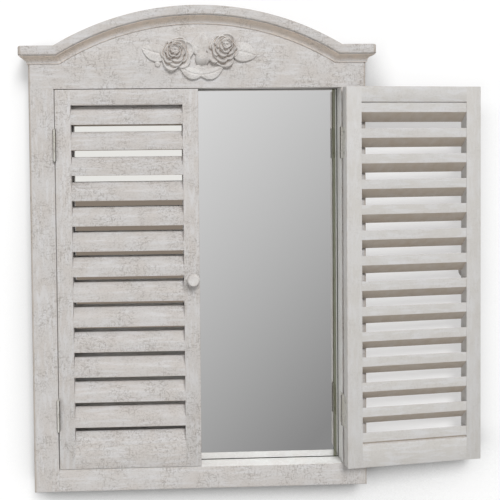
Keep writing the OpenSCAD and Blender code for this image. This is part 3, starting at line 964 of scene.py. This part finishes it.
    def leaf(self, leaf: Leaf, x: np.ndarray, up: np.ndarray) -> np.ndarray:
        """Builds a leaf with a groove along its middle and fine side veins.

        Args:
            leaf: Its place and size.
            x, up: Places on the board.
        Returns:
            Its height.
        """
        turn = math.radians(leaf.angle)
        dx, dy = x - leaf.x, up - leaf.up
        along = (dx * math.cos(turn) + dy * math.sin(turn)) / leaf.length
        side = -dx * math.sin(turn) + dy * math.cos(turn)
        side = side - leaf.bend * (along - along ** 2) * 2
        t = np.clip(along, 0, 1)
        half = leaf.width / 2 * np.sin(np.pi * t ** 0.85) ** 0.7 + 0.2
        share = np.abs(side) / half
        dome = leaf.height * (0.5 + 0.5 * np.sin(np.pi * t ** 0.7))
        body = dome * (1 - 0.42 * share ** 3)
        groove = -1.1 * np.exp(-(share / 0.10) ** 2)
        veins = 0.3 * np.cos((t * 6 - share * 1.2) * 2 * np.pi) * (1 - share) * (share > 0.1)
        rim = 0.45 * np.exp(-((share - 0.88) / 0.08) ** 2)
        inside = (along > 0) & (along < 1) & (share < 1)
        return np.where(inside, body + groove + veins + rim, -1.0)

    def bud(self, bud: Bud, x: np.ndarray, up: np.ndarray) -> np.ndarray:
        """Builds a bud as a dome with two wrapped petals.

        Args:
            bud: Its place and size.
            x, up: Places on the board.
        Returns:
            Its height.
        """
        dx, dy = x - bud.x, up - bud.up
        far = np.hypot(dx, dy) / bud.radius
        turn = np.arctan2(dy, dx) - math.radians(bud.turn)
        wrap = 0.15 * bud.height * np.tanh(9 * np.sin(turn + far * 2.2)) * np.clip(1.1 - far, 0, 1)
        dome = bud.height * np.sqrt(np.clip(1 - 0.92 * far ** 2, 0, 1))
        return np.where(far < 1, dome + wrap, -1.0)

    def surface(self, x: np.ndarray, up: np.ndarray, height: np.ndarray, hollow: np.ndarray,
                base: Vector) -> Object:
        """Turns the heights into a closed piece that lies on the header.

        Args:
            x, up: Places on the board, in millimetres.
            height: Heights above it.
            hollow: How much wax and painted shade lie in the relief there.
            base: Lowest corner of the header, for its front face and foot.
        Returns:
            The piece.
        """
        raised = height > 0.05
        cells = raised[:-1, :-1] | raised[1:, :-1] | raised[:-1, 1:] | raised[1:, 1:]
        for _ in range(4):  # cells that meet only at a corner are joined, so that the foot closes
            rising = cells[:-1, :-1] & cells[1:, 1:] & ~cells[1:, :-1] & ~cells[:-1, 1:]
            cells[1:, :-1] |= rising
            falling = cells[1:, :-1] & cells[:-1, 1:] & ~cells[:-1, :-1] & ~cells[1:, 1:]
            cells[:-1, :-1] |= falling
        used = np.zeros(x.shape, bool)
        for i, j in ((0, 0), (1, 0), (0, 1), (1, 1)):
            used[i:x.shape[0] - 1 + i, j:x.shape[1] - 1 + j] |= cells
        number = np.full(x.shape, -1)
        number[used] = np.arange(used.sum())
        front = -np.maximum(height[used], -self.sunk_mm) * MM + base.y
        places = np.column_stack([x[used] * MM, front, up[used] * MM + base.z])
        i, j = np.nonzero(cells)
        faces = np.column_stack([number[i, j], number[i + 1, j], number[i + 1, j + 1], number[i, j + 1]])
        mesh = bpy.data.meshes.new("rose_relief")
        mesh.from_pydata(places.tolist(), [], faces.tolist())
        mesh.attributes.new("hollow", "FLOAT", "POINT").data.foreach_set("value", hollow[used])
        bm = bmesh_of(mesh)
        bpy.data.meshes.remove(mesh)
        rim = [e for e in bm.edges if e.is_boundary]
        for v in bmesh.ops.extrude_edge_only(bm, edges=rim)["geom"]:
            if isinstance(v, BMVert):
                v.co.y = base.y + self.foot_mm * MM
        bmesh.ops.holes_fill(bm, edges=[e for e in bm.edges if e.is_boundary], sides=0)
        return mesh_object("rose_relief", bm, smooth_deg=75)


# ---- doors


@dataclass
class ShutterDoor:
    """One louvred door. It is drawn closed on the left, then put where it stands at rest."""

    side: str
    finishes: Finishes
    edge_radius: float = 1.0 * MM
    slat_face: float = 15.5 * MM
    slat_drop: float = 17 * MM
    slat_round: float = 0.6 * MM
    slat_steps: int = 14
    slat_count: int = 14
    sway_deg: float = 0.25
    wave: float = 0.25 * MM
    knob_turns: int = 48
    behind: float = 0.3

    @property
    def body(self) -> str:
        """The CAD body of the door."""
        return self.side + "_shutter"

    def build(self) -> None:
        """Makes the door's boards, slats, knob and hinge leaves."""
        for name, (low, high) in self.boards().items():
            bm = block((low + high) / 2, high - low)
            soften(bm, self.edge_radius, self.outer_edges(name, low, high))
            self.place(bm)
            board = dress(f"{self.side}_{name}", "painted", bm, self.body)
            self.paint(board, upright=name.endswith("stile"))
        self.slats()
        self.knob()
        node = self.side + "_hinge_leaves"
        dress(node, "painted", hinge_leaves(node), self.body, self.finishes.hinge)

    @staticmethod
    def outer_edges(name: str, low: Vector, high: Vector) -> Callable[[BMEdge], bool]:
        """Picks the edges of a board that show, so that a painted-over joint leaves no groove.

        Args:
            name: The board's name.
            low, high: Its corners.
        Returns:
            The test that an edge to be rounded passes.
        """
        joined = {"hinge_stile": (high.x,), "meeting_stile": (low.x,)}.get(name, (low.x, high.x))

        def shows(edge: BMEdge) -> bool:
            """Says whether the edge lies off every joint plane."""
            return not any(all(abs(v.co.x - x) < 0.1 * MM for v in edge.verts) for x in joined)
        return shows

    def coats(self, upright: bool) -> tuple[Material, Material]:
        """Gives the paints of the sides that look forwards and back at rest.

        Args:
            upright: The piece's grain runs upwards.
        Returns:
            The paint in front and the paint behind. The outer side of a shut door is the worn one.
        """
        worn = self.finishes.uprights if upright else self.finishes.across
        clean = self.finishes.inner_upright if upright else self.finishes.inner_across
        return (worn, clean) if self.side == "left" else (clean, worn)

    def paint(self, piece: Object, upright: bool) -> None:
        """Paints both sides of a piece of the door.

        Args:
            piece: The piece, where it stands at rest.
            upright: Its grain runs upwards.
        """
        front, back = self.coats(upright)
        piece.data.materials.append(front)
        coat_side(piece, back, (0, 1, 0), self.behind)

    def boards(self) -> dict[str, tuple[Vector, Vector]]:
        """Measures the closed left door's boards, with the rails as long and as deep as it is.

        Returns:
            The low and high corners of each board, by name.
        """
        boxes = {name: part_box("left_" + name)
                 for name in ("hinge_stile", "meeting_stile", "top_rail", "bottom_rail")}
        for rail in ("top_rail", "bottom_rail"):
            low, high = boxes[rail]
            low.x, high.x = boxes["hinge_stile"][1].x, boxes["meeting_stile"][0].x
            low.y, high.y = boxes["hinge_stile"][0].y, boxes["hinge_stile"][1].y
        return boxes

    def place(self, bm: BMesh) -> None:
        """Puts a mesh of the closed left door where this door stands at rest.

        Args:
            bm: The mesh, which is moved.
        """
        if self.side == "left":
            return
        joint = next(j for j in frame["joints"] if j["name"] == "right_shutter_hinge")
        pin = Vector((*joint["pos_m"][:2], 0))
        opened = math.radians(-joint["range_deg"][0])
        swing = Matrix.Translation(pin) @ Matrix.Rotation(opened, 4, "Z") @ Matrix.Translation(-pin)
        bm.transform(swing @ Matrix.Diagonal((-1, 1, 1, 1)))

    def slat_section(self) -> list[tuple[float, float]]:
        """Draws a slat's slanted outline with rounded corners.

        Returns:
            Its points as (y, z) about its middle.
        """
        low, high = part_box("left_slat_01")
        front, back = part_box("left_hinge_stile")
        depth, face = (high.y - low.y) / 2, self.slat_face
        tall = (face + self.slat_drop * 2 * depth / (back.y - front.y)) / 2
        corners = [Vector((depth, tall)), Vector((-depth, -tall + face)), Vector((-depth, -tall)),
                   Vector((depth, tall - face))]
        outline = []
        for k, corner in enumerate(corners):
            before = (corners[k - 1] - corner).normalized()
            after = (corners[(k + 1) % 4] - corner).normalized()
            half = before.angle(after) / 2
            centre = corner + (before + after).normalized() * self.slat_round / math.sin(half)
            start = corner + before * self.slat_round / math.tan(half) - centre
            end = corner + after * self.slat_round / math.tan(half) - centre
            for step in range(5):
                point = centre + start.lerp(end, step / 4).normalized() * self.slat_round
                outline.append((point.x, point.y))
        return outline

    def slat(self, length: float) -> Object:
        """Makes one slat about the origin, with its faces that look down marked for painted shade.

        Args:
            length: Its length across.
        Returns:
            The slat, as the pattern for the ladder.
        """
        bm = bmesh.new()
        under = bm.faces.layers.float.new("underside")
        outline = self.slat_section()
        rings = [[bm.verts.new((length * (k / self.slat_steps - 0.5), y, z)) for y, z in outline]
                 for k in range(self.slat_steps + 1)]
        skin(bm, rings)
        for end in (rings[0], rings[-1]):
            bm.faces.new(end)
        bmesh.ops.recalc_face_normals(bm, faces=bm.faces)
        for face in bm.faces:
            # painted shade: faces that look down take the darker aged colour
            face[under] = 1.0 if face.normal.z < -0.3 else 0.0
        return mesh_object("slat_pattern", bm, smooth_deg=40)

    def slats(self) -> None:
        """Repeats the slat down the door by a geometry tree."""
        nodes = [f"{self.side}_slat_{k + 1:02d}" for k in range(self.slat_count)]
        first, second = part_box("left_slat_01"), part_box("left_slat_02")
        tree = geometry_tree("slat_ladder", {
            "Count": "Int", "Start": "Vector", "Pitch": "Float", "Sway": "Float", "Wave": "Float",
            "Seed": "Int", "Paint": "Material"}, slat_ladder)
        ladder = repeated(self.slat(first[1].x - first[0].x), tree, {
            "Count": self.slat_count, "Start": tuple((first[0] + first[1]) / 2),
            "Pitch": first[1].z - second[1].z, "Sway": math.radians(self.sway_deg),
            "Wave": self.wave, "Seed": 3 if self.side == "left" else 8,
            "Paint": self.coats(False)[0]}, self.side + "_slats")
        bm = bmesh_of(ladder.data)
        bpy.data.objects.remove(ladder)
        self.place(bm)
        slats = mesh_object(self.side + "_slats", bm, smooth_deg=40)
        self.paint(slats, upright=False)
        settle(slats, self.body, nodes)

    def knob(self) -> None:
        """Turns the door's knob on a lathe line read from its CAD size."""
        low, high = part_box("left_knob")
        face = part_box("left_meeting_stile")[0].y
        centre = Vector(((low.x + high.x) / 2, face, (low.z + high.z) / 2))
        head, tall = (high.x - low.x) / 2, face - low.y
        line = [(0.0, -0.04), (0.62, -0.04), (0.63, 0.03), (0.60, 0.10), (0.50, 0.15), (0.42, 0.22),
                (0.40, 0.32), (0.46, 0.40), (0.66, 0.455), (0.88, 0.51), (0.975, 0.57), (1.0, 0.64),
                (0.985, 0.73), (0.94, 0.82), (0.88, 0.90), (0.82, 0.955), (0.76, 0.985), (0.70, 0.995),
                (0.64, 0.985), (0.0, 0.98)]
        bm = bmesh.new()
        lathe(bm, [(head * share, -rise * tall) for share, rise in line], self.knob_turns,
              lambda across, up, out: centre + Vector((across, out, up)))
        self.place(bm)
        dress(self.side + "_knob", "turned", bm, self.body, self.finishes.relief, 50)


def slat_ladder(put: Put, given: Any) -> NodeSocket:
    """Repeats a slat downwards at an even pitch, each a little uneven.

    Args:
        put: Adds a node to the tree.
        given: The tree's inputs.
    Returns:
        The slats.
    """
    drop = put("ShaderNodeCombineXYZ", {2: put(Node.TIMES, given["Pitch"], -1.0)})
    line = put("GeometryNodeMeshLine", {
        "Count": given["Count"], "Start Location": given["Start"], "Offset": drop}, mode="OFFSET")
    tilt = put("FunctionNodeRandomValue", {
        2: put(Node.TIMES, given["Sway"], -1.0), 3: given["Sway"], "Seed": given["Seed"]},
        data_type="FLOAT").node.outputs[1]
    placed = put("GeometryNodeInstanceOnPoints", {
        "Points": line, "Instance": given["Geometry"],
        "Rotation": put("ShaderNodeCombineXYZ", {0: tilt})})
    real = put("GeometryNodeRealizeInstances", placed)
    noise = put(Node.NOISE, {"W": given["Seed"], "Scale": 11.0, "Detail": 1.0}, noise_dimensions="4D")
    centred = put("ShaderNodeVectorMath", noise.node.outputs["Color"], (0.5, 0.5, 0.5),
                  operation="SUBTRACT")
    wave = put("ShaderNodeVectorMath", {0: centred, "Scale": given["Wave"]}, operation="SCALE")
    moved = put("GeometryNodeSetPosition", {0: real, "Offset": wave})
    return put("GeometryNodeSetMaterial", {0: moved, "Material": given["Paint"]})


# ---- hardware


def hinge_leaves(node: str) -> BMesh:
    """Copies the steel of a hinge, with painted shadow on the sides of its round parts.

    Args:
        node: The CAD node.
    Returns:
        The mesh, with its painted shadow marked.
    """
    bm = merged_node(node)
    bare = bm.faces.layers.float.new("hollow")
    bmesh.ops.recalc_face_normals(bm, faces=bm.faces)
    # painted shadow on the sides of the round parts
    for face in bm.faces:
        if 0.6 < abs(face.normal.x) < 0.97 and abs(face.normal.z) < 0.1:
            face[bare] = 1.0
    return bm


@dataclass
class Hardware:
    """Hinge leaves of the frame, pins and every screw."""

    finishes: Finishes
    head_radius: float = 2.3 * MM
    slot_width: float = 0.7 * MM
    slot_depth: float = 0.5 * MM
    shank_radius: float = 1.1 * MM
    length: float = 9 * MM
    turns: int = 24

    def build(self) -> None:
        """Dresses the hardware."""
        for node in ("frame_hinge_leaves", "hinge_pins"):
            dress(node, "painted", hinge_leaves(node), "frame", self.finishes.hinge, 40)
        for node, body in (("frame_hinge_screws", "frame"), ("hanger_screws", "frame"),
                           ("left_hinge_screws", "left_shutter"),
                           ("right_hinge_screws", "right_shutter")):
            self.screws(node, body)

    def screw(self) -> Object:
        """Makes one countersunk screw with a slotted head.

        Returns:
            The screw, pointing along +Z from its head at the origin.
        """
        bm = bmesh.new()
        line = [(0.95 * self.head_radius, 0.0), (self.head_radius, 0.05 * MM),
                (self.shank_radius, 0.98 * MM), (self.shank_radius, 8.2 * MM), (0.0, self.length)]
        rings = lathe(bm, line, self.turns, lambda x, y, rise: (x, y, rise))
        bm.faces.new(rings[0])
        screw = mesh_object("screw_pattern", bm, smooth_deg=30)
        slot = Vector((4 * self.head_radius, self.slot_width, 2 * self.slot_depth))
        cutter = mesh_object("screw_slot", block(Vector(), slot))
        cut = screw.modifiers.new("slot", "BOOLEAN")
        cut.operation, cut.object, cut.solver = "DIFFERENCE", cutter, "EXACT"
        plain = baked(screw, "screw_slotted")
        bpy.data.objects.remove(cutter)
        return plain

    @staticmethod
    def heads(node: str) -> list[tuple[Vector, Vector]]:
        """Finds the head and the direction of every screw in a CAD node.

        Args:
            node: The node that holds the screws as separate solids.
        Returns:
            For each screw the middle of its head's face and the way its point goes.
        """
        bm = merged_node(node)
        left = set(bm.verts)
        found = []
        while left:
            island, edge = set(), {left.pop()}
            while edge:
                island |= edge
                edge = {e.other_vert(v) for v in edge for e in v.link_edges} - island
            left -= island
            points = np.array([v.co for v in island], float)
            middle = (points.min(0) + points.max(0)) / 2
            spread = points - points.mean(0)
            axis = np.linalg.eigh(spread.T @ spread)[1][:, -1]
            along = (points - middle) @ axis
            ends = [points[np.abs(along - t) < 0.2 * MM] for t in (along.min(), along.max())]
            widths = [np.linalg.norm(e - e.mean(0), axis=1).max() for e in ends]
            if widths[0] <= widths[1]:
                axis = -axis
            start = middle + axis * ((points - middle) @ axis).min()
            found.append((Vector(start), Vector(axis)))
        bm.free()
        return sorted(found, key=lambda pair: tuple(round(c, 4) for c in pair[0]))

    def screws(self, node: str, body: str) -> None:
        """Puts detailed screws where a CAD node has plain ones.

        Args:
            node: The CAD node.
            body: The body that holds them.
        """
        heads = self.heads(node)
        mesh = bpy.data.meshes.new(node + "_places")
        mesh.from_pydata([tuple(p) for p, _ in heads], [], [])
        ways = mesh.attributes.new("way", "FLOAT_VECTOR", "POINT")
        for row, (_, way) in zip(ways.data, heads):
            row.vector = way
        pattern = self.screw()
        tree = geometry_tree("screw_rows", {"Screw": "Object", "Seed": "Int", "Steel": "Material"},
                             screw_rows)
        piece = repeated(shown(node + "_places", mesh), tree, {
            "Screw": pattern, "Seed": len(node), "Steel": self.finishes.steel}, node + "_slotted")
        bpy.data.objects.remove(pattern)
        settle(piece, body, [node])


def screw_rows(put: Put, given: Any) -> NodeSocket:
    """Sets a screw at each point, turned along its way at a random angle.

    Args:
        put: Adds a node to the tree.
        given: The tree's inputs.
    Returns:
        The screws.
    """
    shape = put("GeometryNodeObjectInfo", {"Object": given["Screw"]}).node.outputs["Geometry"]
    way = put("GeometryNodeInputNamedAttribute", {"Name": "way"}, data_type="FLOAT_VECTOR")
    aligned = put("FunctionNodeAlignRotationToVector", {"Vector": way}, axis="Z")
    angle = put("FunctionNodeRandomValue", {2: 0.0, 3: math.pi, "Seed": given["Seed"]},
                data_type="FLOAT").node.outputs[1]
    spin = put("FunctionNodeAxisAngleToRotation", {"Axis": (0, 0, 1), "Angle": angle})
    turned = put("FunctionNodeRotateRotation", aligned, spin, rotation_space="LOCAL")
    placed = put("GeometryNodeInstanceOnPoints", {
        "Points": given["Geometry"], "Instance": shape, "Rotation": turned})
    real = put("GeometryNodeRealizeInstances", placed)
    return put("GeometryNodeSetMaterial", {0: real, "Material": given["Steel"]})


# ---- camera, room and light


@dataclass
class Camera:
    """The photograph's viewpoint: low in front of the left door, turned slightly right."""

    place: Vector = field(default_factory=lambda: Vector((-65.81, -932.13, -130.75)) * MM)
    yaw: float = 0.0277
    pitch: float = 0.022
    roll: float = 0.0108
    focal_px: float = 583.41
    centre_px: tuple[float, float] = (172.5, 170.0)
    frame_px: int = 500
    sensor_mm: float = 36.0

    def build(self) -> None:
        """Makes the camera and sets it as the scene's."""
        data = bpy.data.cameras.new("camera")
        data.sensor_fit = "HORIZONTAL"
        data.sensor_width = self.sensor_mm
        data.lens = self.focal_px / self.frame_px * self.sensor_mm
        data.shift_x = (self.frame_px / 2 - self.centre_px[0]) / self.frame_px
        data.shift_y = (self.centre_px[1] - self.frame_px / 2) / self.frame_px
        camera = shown("camera", data)
        view = Matrix.Translation(self.place)
        for angle, axis in ((-self.yaw, "Z"), (math.pi / 2 - self.pitch, "X"), (-self.roll, "Z")):
            view = view @ Matrix.Rotation(angle, 4, axis)
        camera.matrix_world = view
        bpy.context.scene.camera = camera


@dataclass(frozen=True)
class Lamp:
    """A square soft lamp: where it hangs and looks, its side in metres and its power in watts."""

    name: str
    place: Place
    target: Place
    size: float
    power: float

    def build(self) -> None:
        """Makes the lamp, which the camera doesn't see."""
        data = bpy.data.lights.new(self.name, "AREA")
        data.size, data.energy = self.size, self.power
        lamp = shown(self.name, data)
        way = Vector(self.target) - Vector(self.place)
        turn = way.to_track_quat("-Z", "Y").to_matrix().to_4x4()
        lamp.matrix_world = Matrix.Translation(self.place) @ turn
        lamp.visible_camera = False


@dataclass
class Studio:
    """A white wall and pale floor, soft light from above, and a grey screen that the glass shows.

    A patch of a plane is held as soft bands, each an axis with the places where it is 0 and 1.
    """

    wall_size: tuple[float, float] = (7.0, 5.0)
    floor_z: float = -1.65
    screen_half: float = 3.0
    screen_top: float = 1.6
    screen_y: float = -1.5
    sky: float = 0.30
    lamps: tuple[Lamp, ...] = (
        Lamp("key_light", (1.3, -7.0, 5.6), (0.0, 0.0, -0.3), 3.6, 670.0),
        Lamp("back_light", (0.0, 3.2, 0.3), (0.0, 0.0, -0.3), 4.0, 46.0),
        Lamp("fill_light", (-1.5, -1.7, -1.1), (0.0, 0.0, -0.5), 1.4, 12.0))
    wall_lift: float = 0.42
    floor_lift: float = 0.5
    contact: float = 1.6
    contact_below: float = 3.2
    reach: float = 75 * MM
    reach_below: float = 65 * MM
    behind_door: Bands = (("X", 0.10, 0.17), ("Z", -0.63, -0.57), ("X", 0.447, 0.425), ("Z", -0.02, -0.05))
    above_all: Bands = (("Z", 0.02, 0.06),)
    above_door: Bands = (("X", 0.28, 0.33), ("Z", -0.075, -0.035))
    beside_left: Bands = (("X", -0.20, -0.24), ("Z", -0.40, -0.05))
    beside_share: float = 0.52
    below_left: Bands = (("Z", -0.56, -0.62), ("X", -0.275, -0.235))
    grey_middle: float = 0.747
    grey_along_x: float = -0.262
    grey_along_z: float = 0.246
    grey_least: float = 0.27
    grey_most: float = 0.8
    screen_left: Bands = (("X", 0.10, 0.045), ("X", -0.58, -0.48))
    screen_low: Bands = (("Z", -0.23, -0.30),)

    def build(self) -> None:
        """Makes the room, its lights and the view settings."""
        self.world()
        half, tall = self.wall_size[0] / 2, self.wall_size[1]
        back, foot = CAD_BOX[1].y + 0.5 * MM, self.floor_z
        wall = self.plane("wall", (-half, back, foot), (half, back, foot + tall),
                          made_of("white_wall", self.wall))
        wall.visible_shadow = wall.visible_diffuse = False
        self.plane("floor", (-half, -half, foot), (half, half, foot), made_of("pale_floor", self.floor))
        screen = self.plane("screen", (-self.screen_half, self.screen_y, foot),
                            (self.screen_half, self.screen_y, self.screen_top),
                            made_of("grey_screen", self.screen))
        screen.visible_camera = screen.visible_diffuse = screen.visible_shadow = False
        for lamp in self.lamps:
            lamp.build()
        bpy.context.scene.view_settings.view_transform = "Standard"

    def world(self) -> None:
        """Lights the room evenly, and shows white to the camera and in glass and metal."""
        world = bpy.data.worlds.new("studio")
        world.use_nodes = True
        world.node_tree.nodes.clear()
        put = partial(add, world.node_tree)
        sky, white = (put("ShaderNodeBackground", "#FFFFFF", power) for power in (self.sky, 1.0))
        put("ShaderNodeOutputWorld", put("ShaderNodeMixShader", self.seen(put), sky, white))
        bpy.context.scene.world = world

    @staticmethod
    def seen(put: Put) -> NodeSocket:
        """Tells what is looked at from what only lights.

        Args:
            put: Adds a node to the material.
        Returns:
            1 for rays from the camera, or by way of gloss or glass.
        """
        path = put("ShaderNodeLightPath").node.outputs
        some = put(Node.MOST, path["Is Camera Ray"], path["Is Glossy Ray"])
        return put(Node.MOST, some, path["Is Transmission Ray"])

    @staticmethod
    def plane(name: str, low: Place, high: Place, material: Material) -> Object:
        """Makes a stage plane that stands along X or lies level.

        Args:
            name: Its name.
            low, high: Its opposite corners.
            material: Its finish.
        Returns:
            The plane.
        """
        corners = [low, (high[0], low[1], low[2]), high, (low[0], high[1], high[2])]
        mesh = bpy.data.meshes.new(name)
        mesh.from_pydata(corners, [], [(0, 1, 2, 3)])
        mesh.materials.append(material)
        plane = shown(name, mesh)
        return plane

    @staticmethod
    def patch(put: Put, place: Any, bands: Bands, share: float = 1.0) -> NodeSocket:
        """Draws a soft-edged patch of a plane.

        Args:
            put: Adds a node to the material.
            place: The plane's coordinates by axis.
            bands: The patch.
            share: Its value inside.
        Returns:
            The share inside the patch and 0 outside it.
        """
        inside = share
        for axis, low, high in bands:
            inside = put(Node.TIMES, put(Node.BAND, place[axis], low, high), inside)
        return inside

    @staticmethod
    def lifted(put: Put, colour: str, glow: NodeSocket) -> NodeSocket:
        """Gives a matt surface of a colour that also glows white."""
        return put("ShaderNodeAddShader", put("ShaderNodeBsdfDiffuse", colour),
                   put(Node.GLOW, "#FFFFFF", glow))

    def wall(self, put: Put) -> NodeSocket:
        """Adds the wall's nodes: seen from the room only, with a soft contact shadow.

        Args:
            put: Adds a node to the material.
        Returns:
            The shader.
        """
        place = put(Node.SPLIT, put(Node.PLACE)).node.outputs
        clean = self.patch(put, place, self.beside_left, self.beside_share)
        for bands in (self.behind_door, self.above_all, self.above_door):
            clean = put(Node.MOST, clean, self.patch(put, place, bands))
        below = self.patch(put, place, self.below_left)
        reach = put(Node.TIMES_PLUS, below, self.reach_below, self.reach)
        depth = put(Node.TIMES_PLUS, below, self.contact_below, self.contact)
        air = put("ShaderNodeAmbientOcclusion", {"Distance": reach}, samples=8).node.outputs["AO"]
        near = put(Node.TIMES, put(Node.LESS, 1.0, air), depth)
        shaded = put(Node.MIX, clean, near, (0, 0, 0, 1))
        kept = put(Node.LESS, 1.0, shaded, use_clamp=True)
        glow = put(Node.TIMES, put(Node.TIMES, self.seen(put), self.wall_lift), kept)
        behind = put("ShaderNodeNewGeometry").node.outputs["Backfacing"]
        return put("ShaderNodeMixShader", behind, self.lifted(put, "#CACACA", glow),
                   put("ShaderNodeBsdfTransparent"))

    def floor(self, put: Put) -> NodeSocket:
        """Adds the floor's nodes and gives its shader."""
        return self.lifted(put, "#B4B4B2", put(Node.TIMES, self.seen(put), self.floor_lift))

    def screen(self, put: Put) -> NodeSocket:
        """Adds the nodes of the grey screen, a painted reflection which only the mirror sees.

        Args:
            put: Adds a node to the material.
        Returns:
            The shader.
        """
        place = put(Node.SPLIT, put(Node.PLACE)).node.outputs
        across = put(Node.TIMES_PLUS, place["X"], self.grey_along_x, self.grey_middle)
        level = put(Node.TIMES_PLUS, place["Z"], self.grey_along_z, across)
        held = put("ShaderNodeClamp", {"Value": level, "Min": self.grey_least, "Max": self.grey_most})
        grey = put("ShaderNodeCombineColor", held, held, held)
        # painted reflection and painted shade: the glass shows a warm white patch through the left door's
        # upper gaps, and a dark brown patch at its foot through the lower ones, standing for the shade
        # inside the shut door
        left = self.patch(put, place, self.screen_left)
        low = put(Node.TIMES, left, self.patch(put, place, self.screen_low))
        lit = put(Node.MIX, left, grey, "#F1F0EC")
        return put(Node.GLOW, put(Node.MIX, low, lit, "#8A7F74"), 1.0)


def main() -> None:
    """Builds the camera, the room and every part of the object in order."""
    logging.basicConfig(level=logging.INFO, format="%(name)s: %(message)s")
    Camera().build()
    Studio().build()
    finishes = Finishes()
    WallFrame(finishes).build()
    RoseRelief(finishes).build()
    for side in ("left", "right"):
        ShutterDoor(side, finishes).build()
    Hardware(finishes).build()


if __name__ == "__main__":
    main()
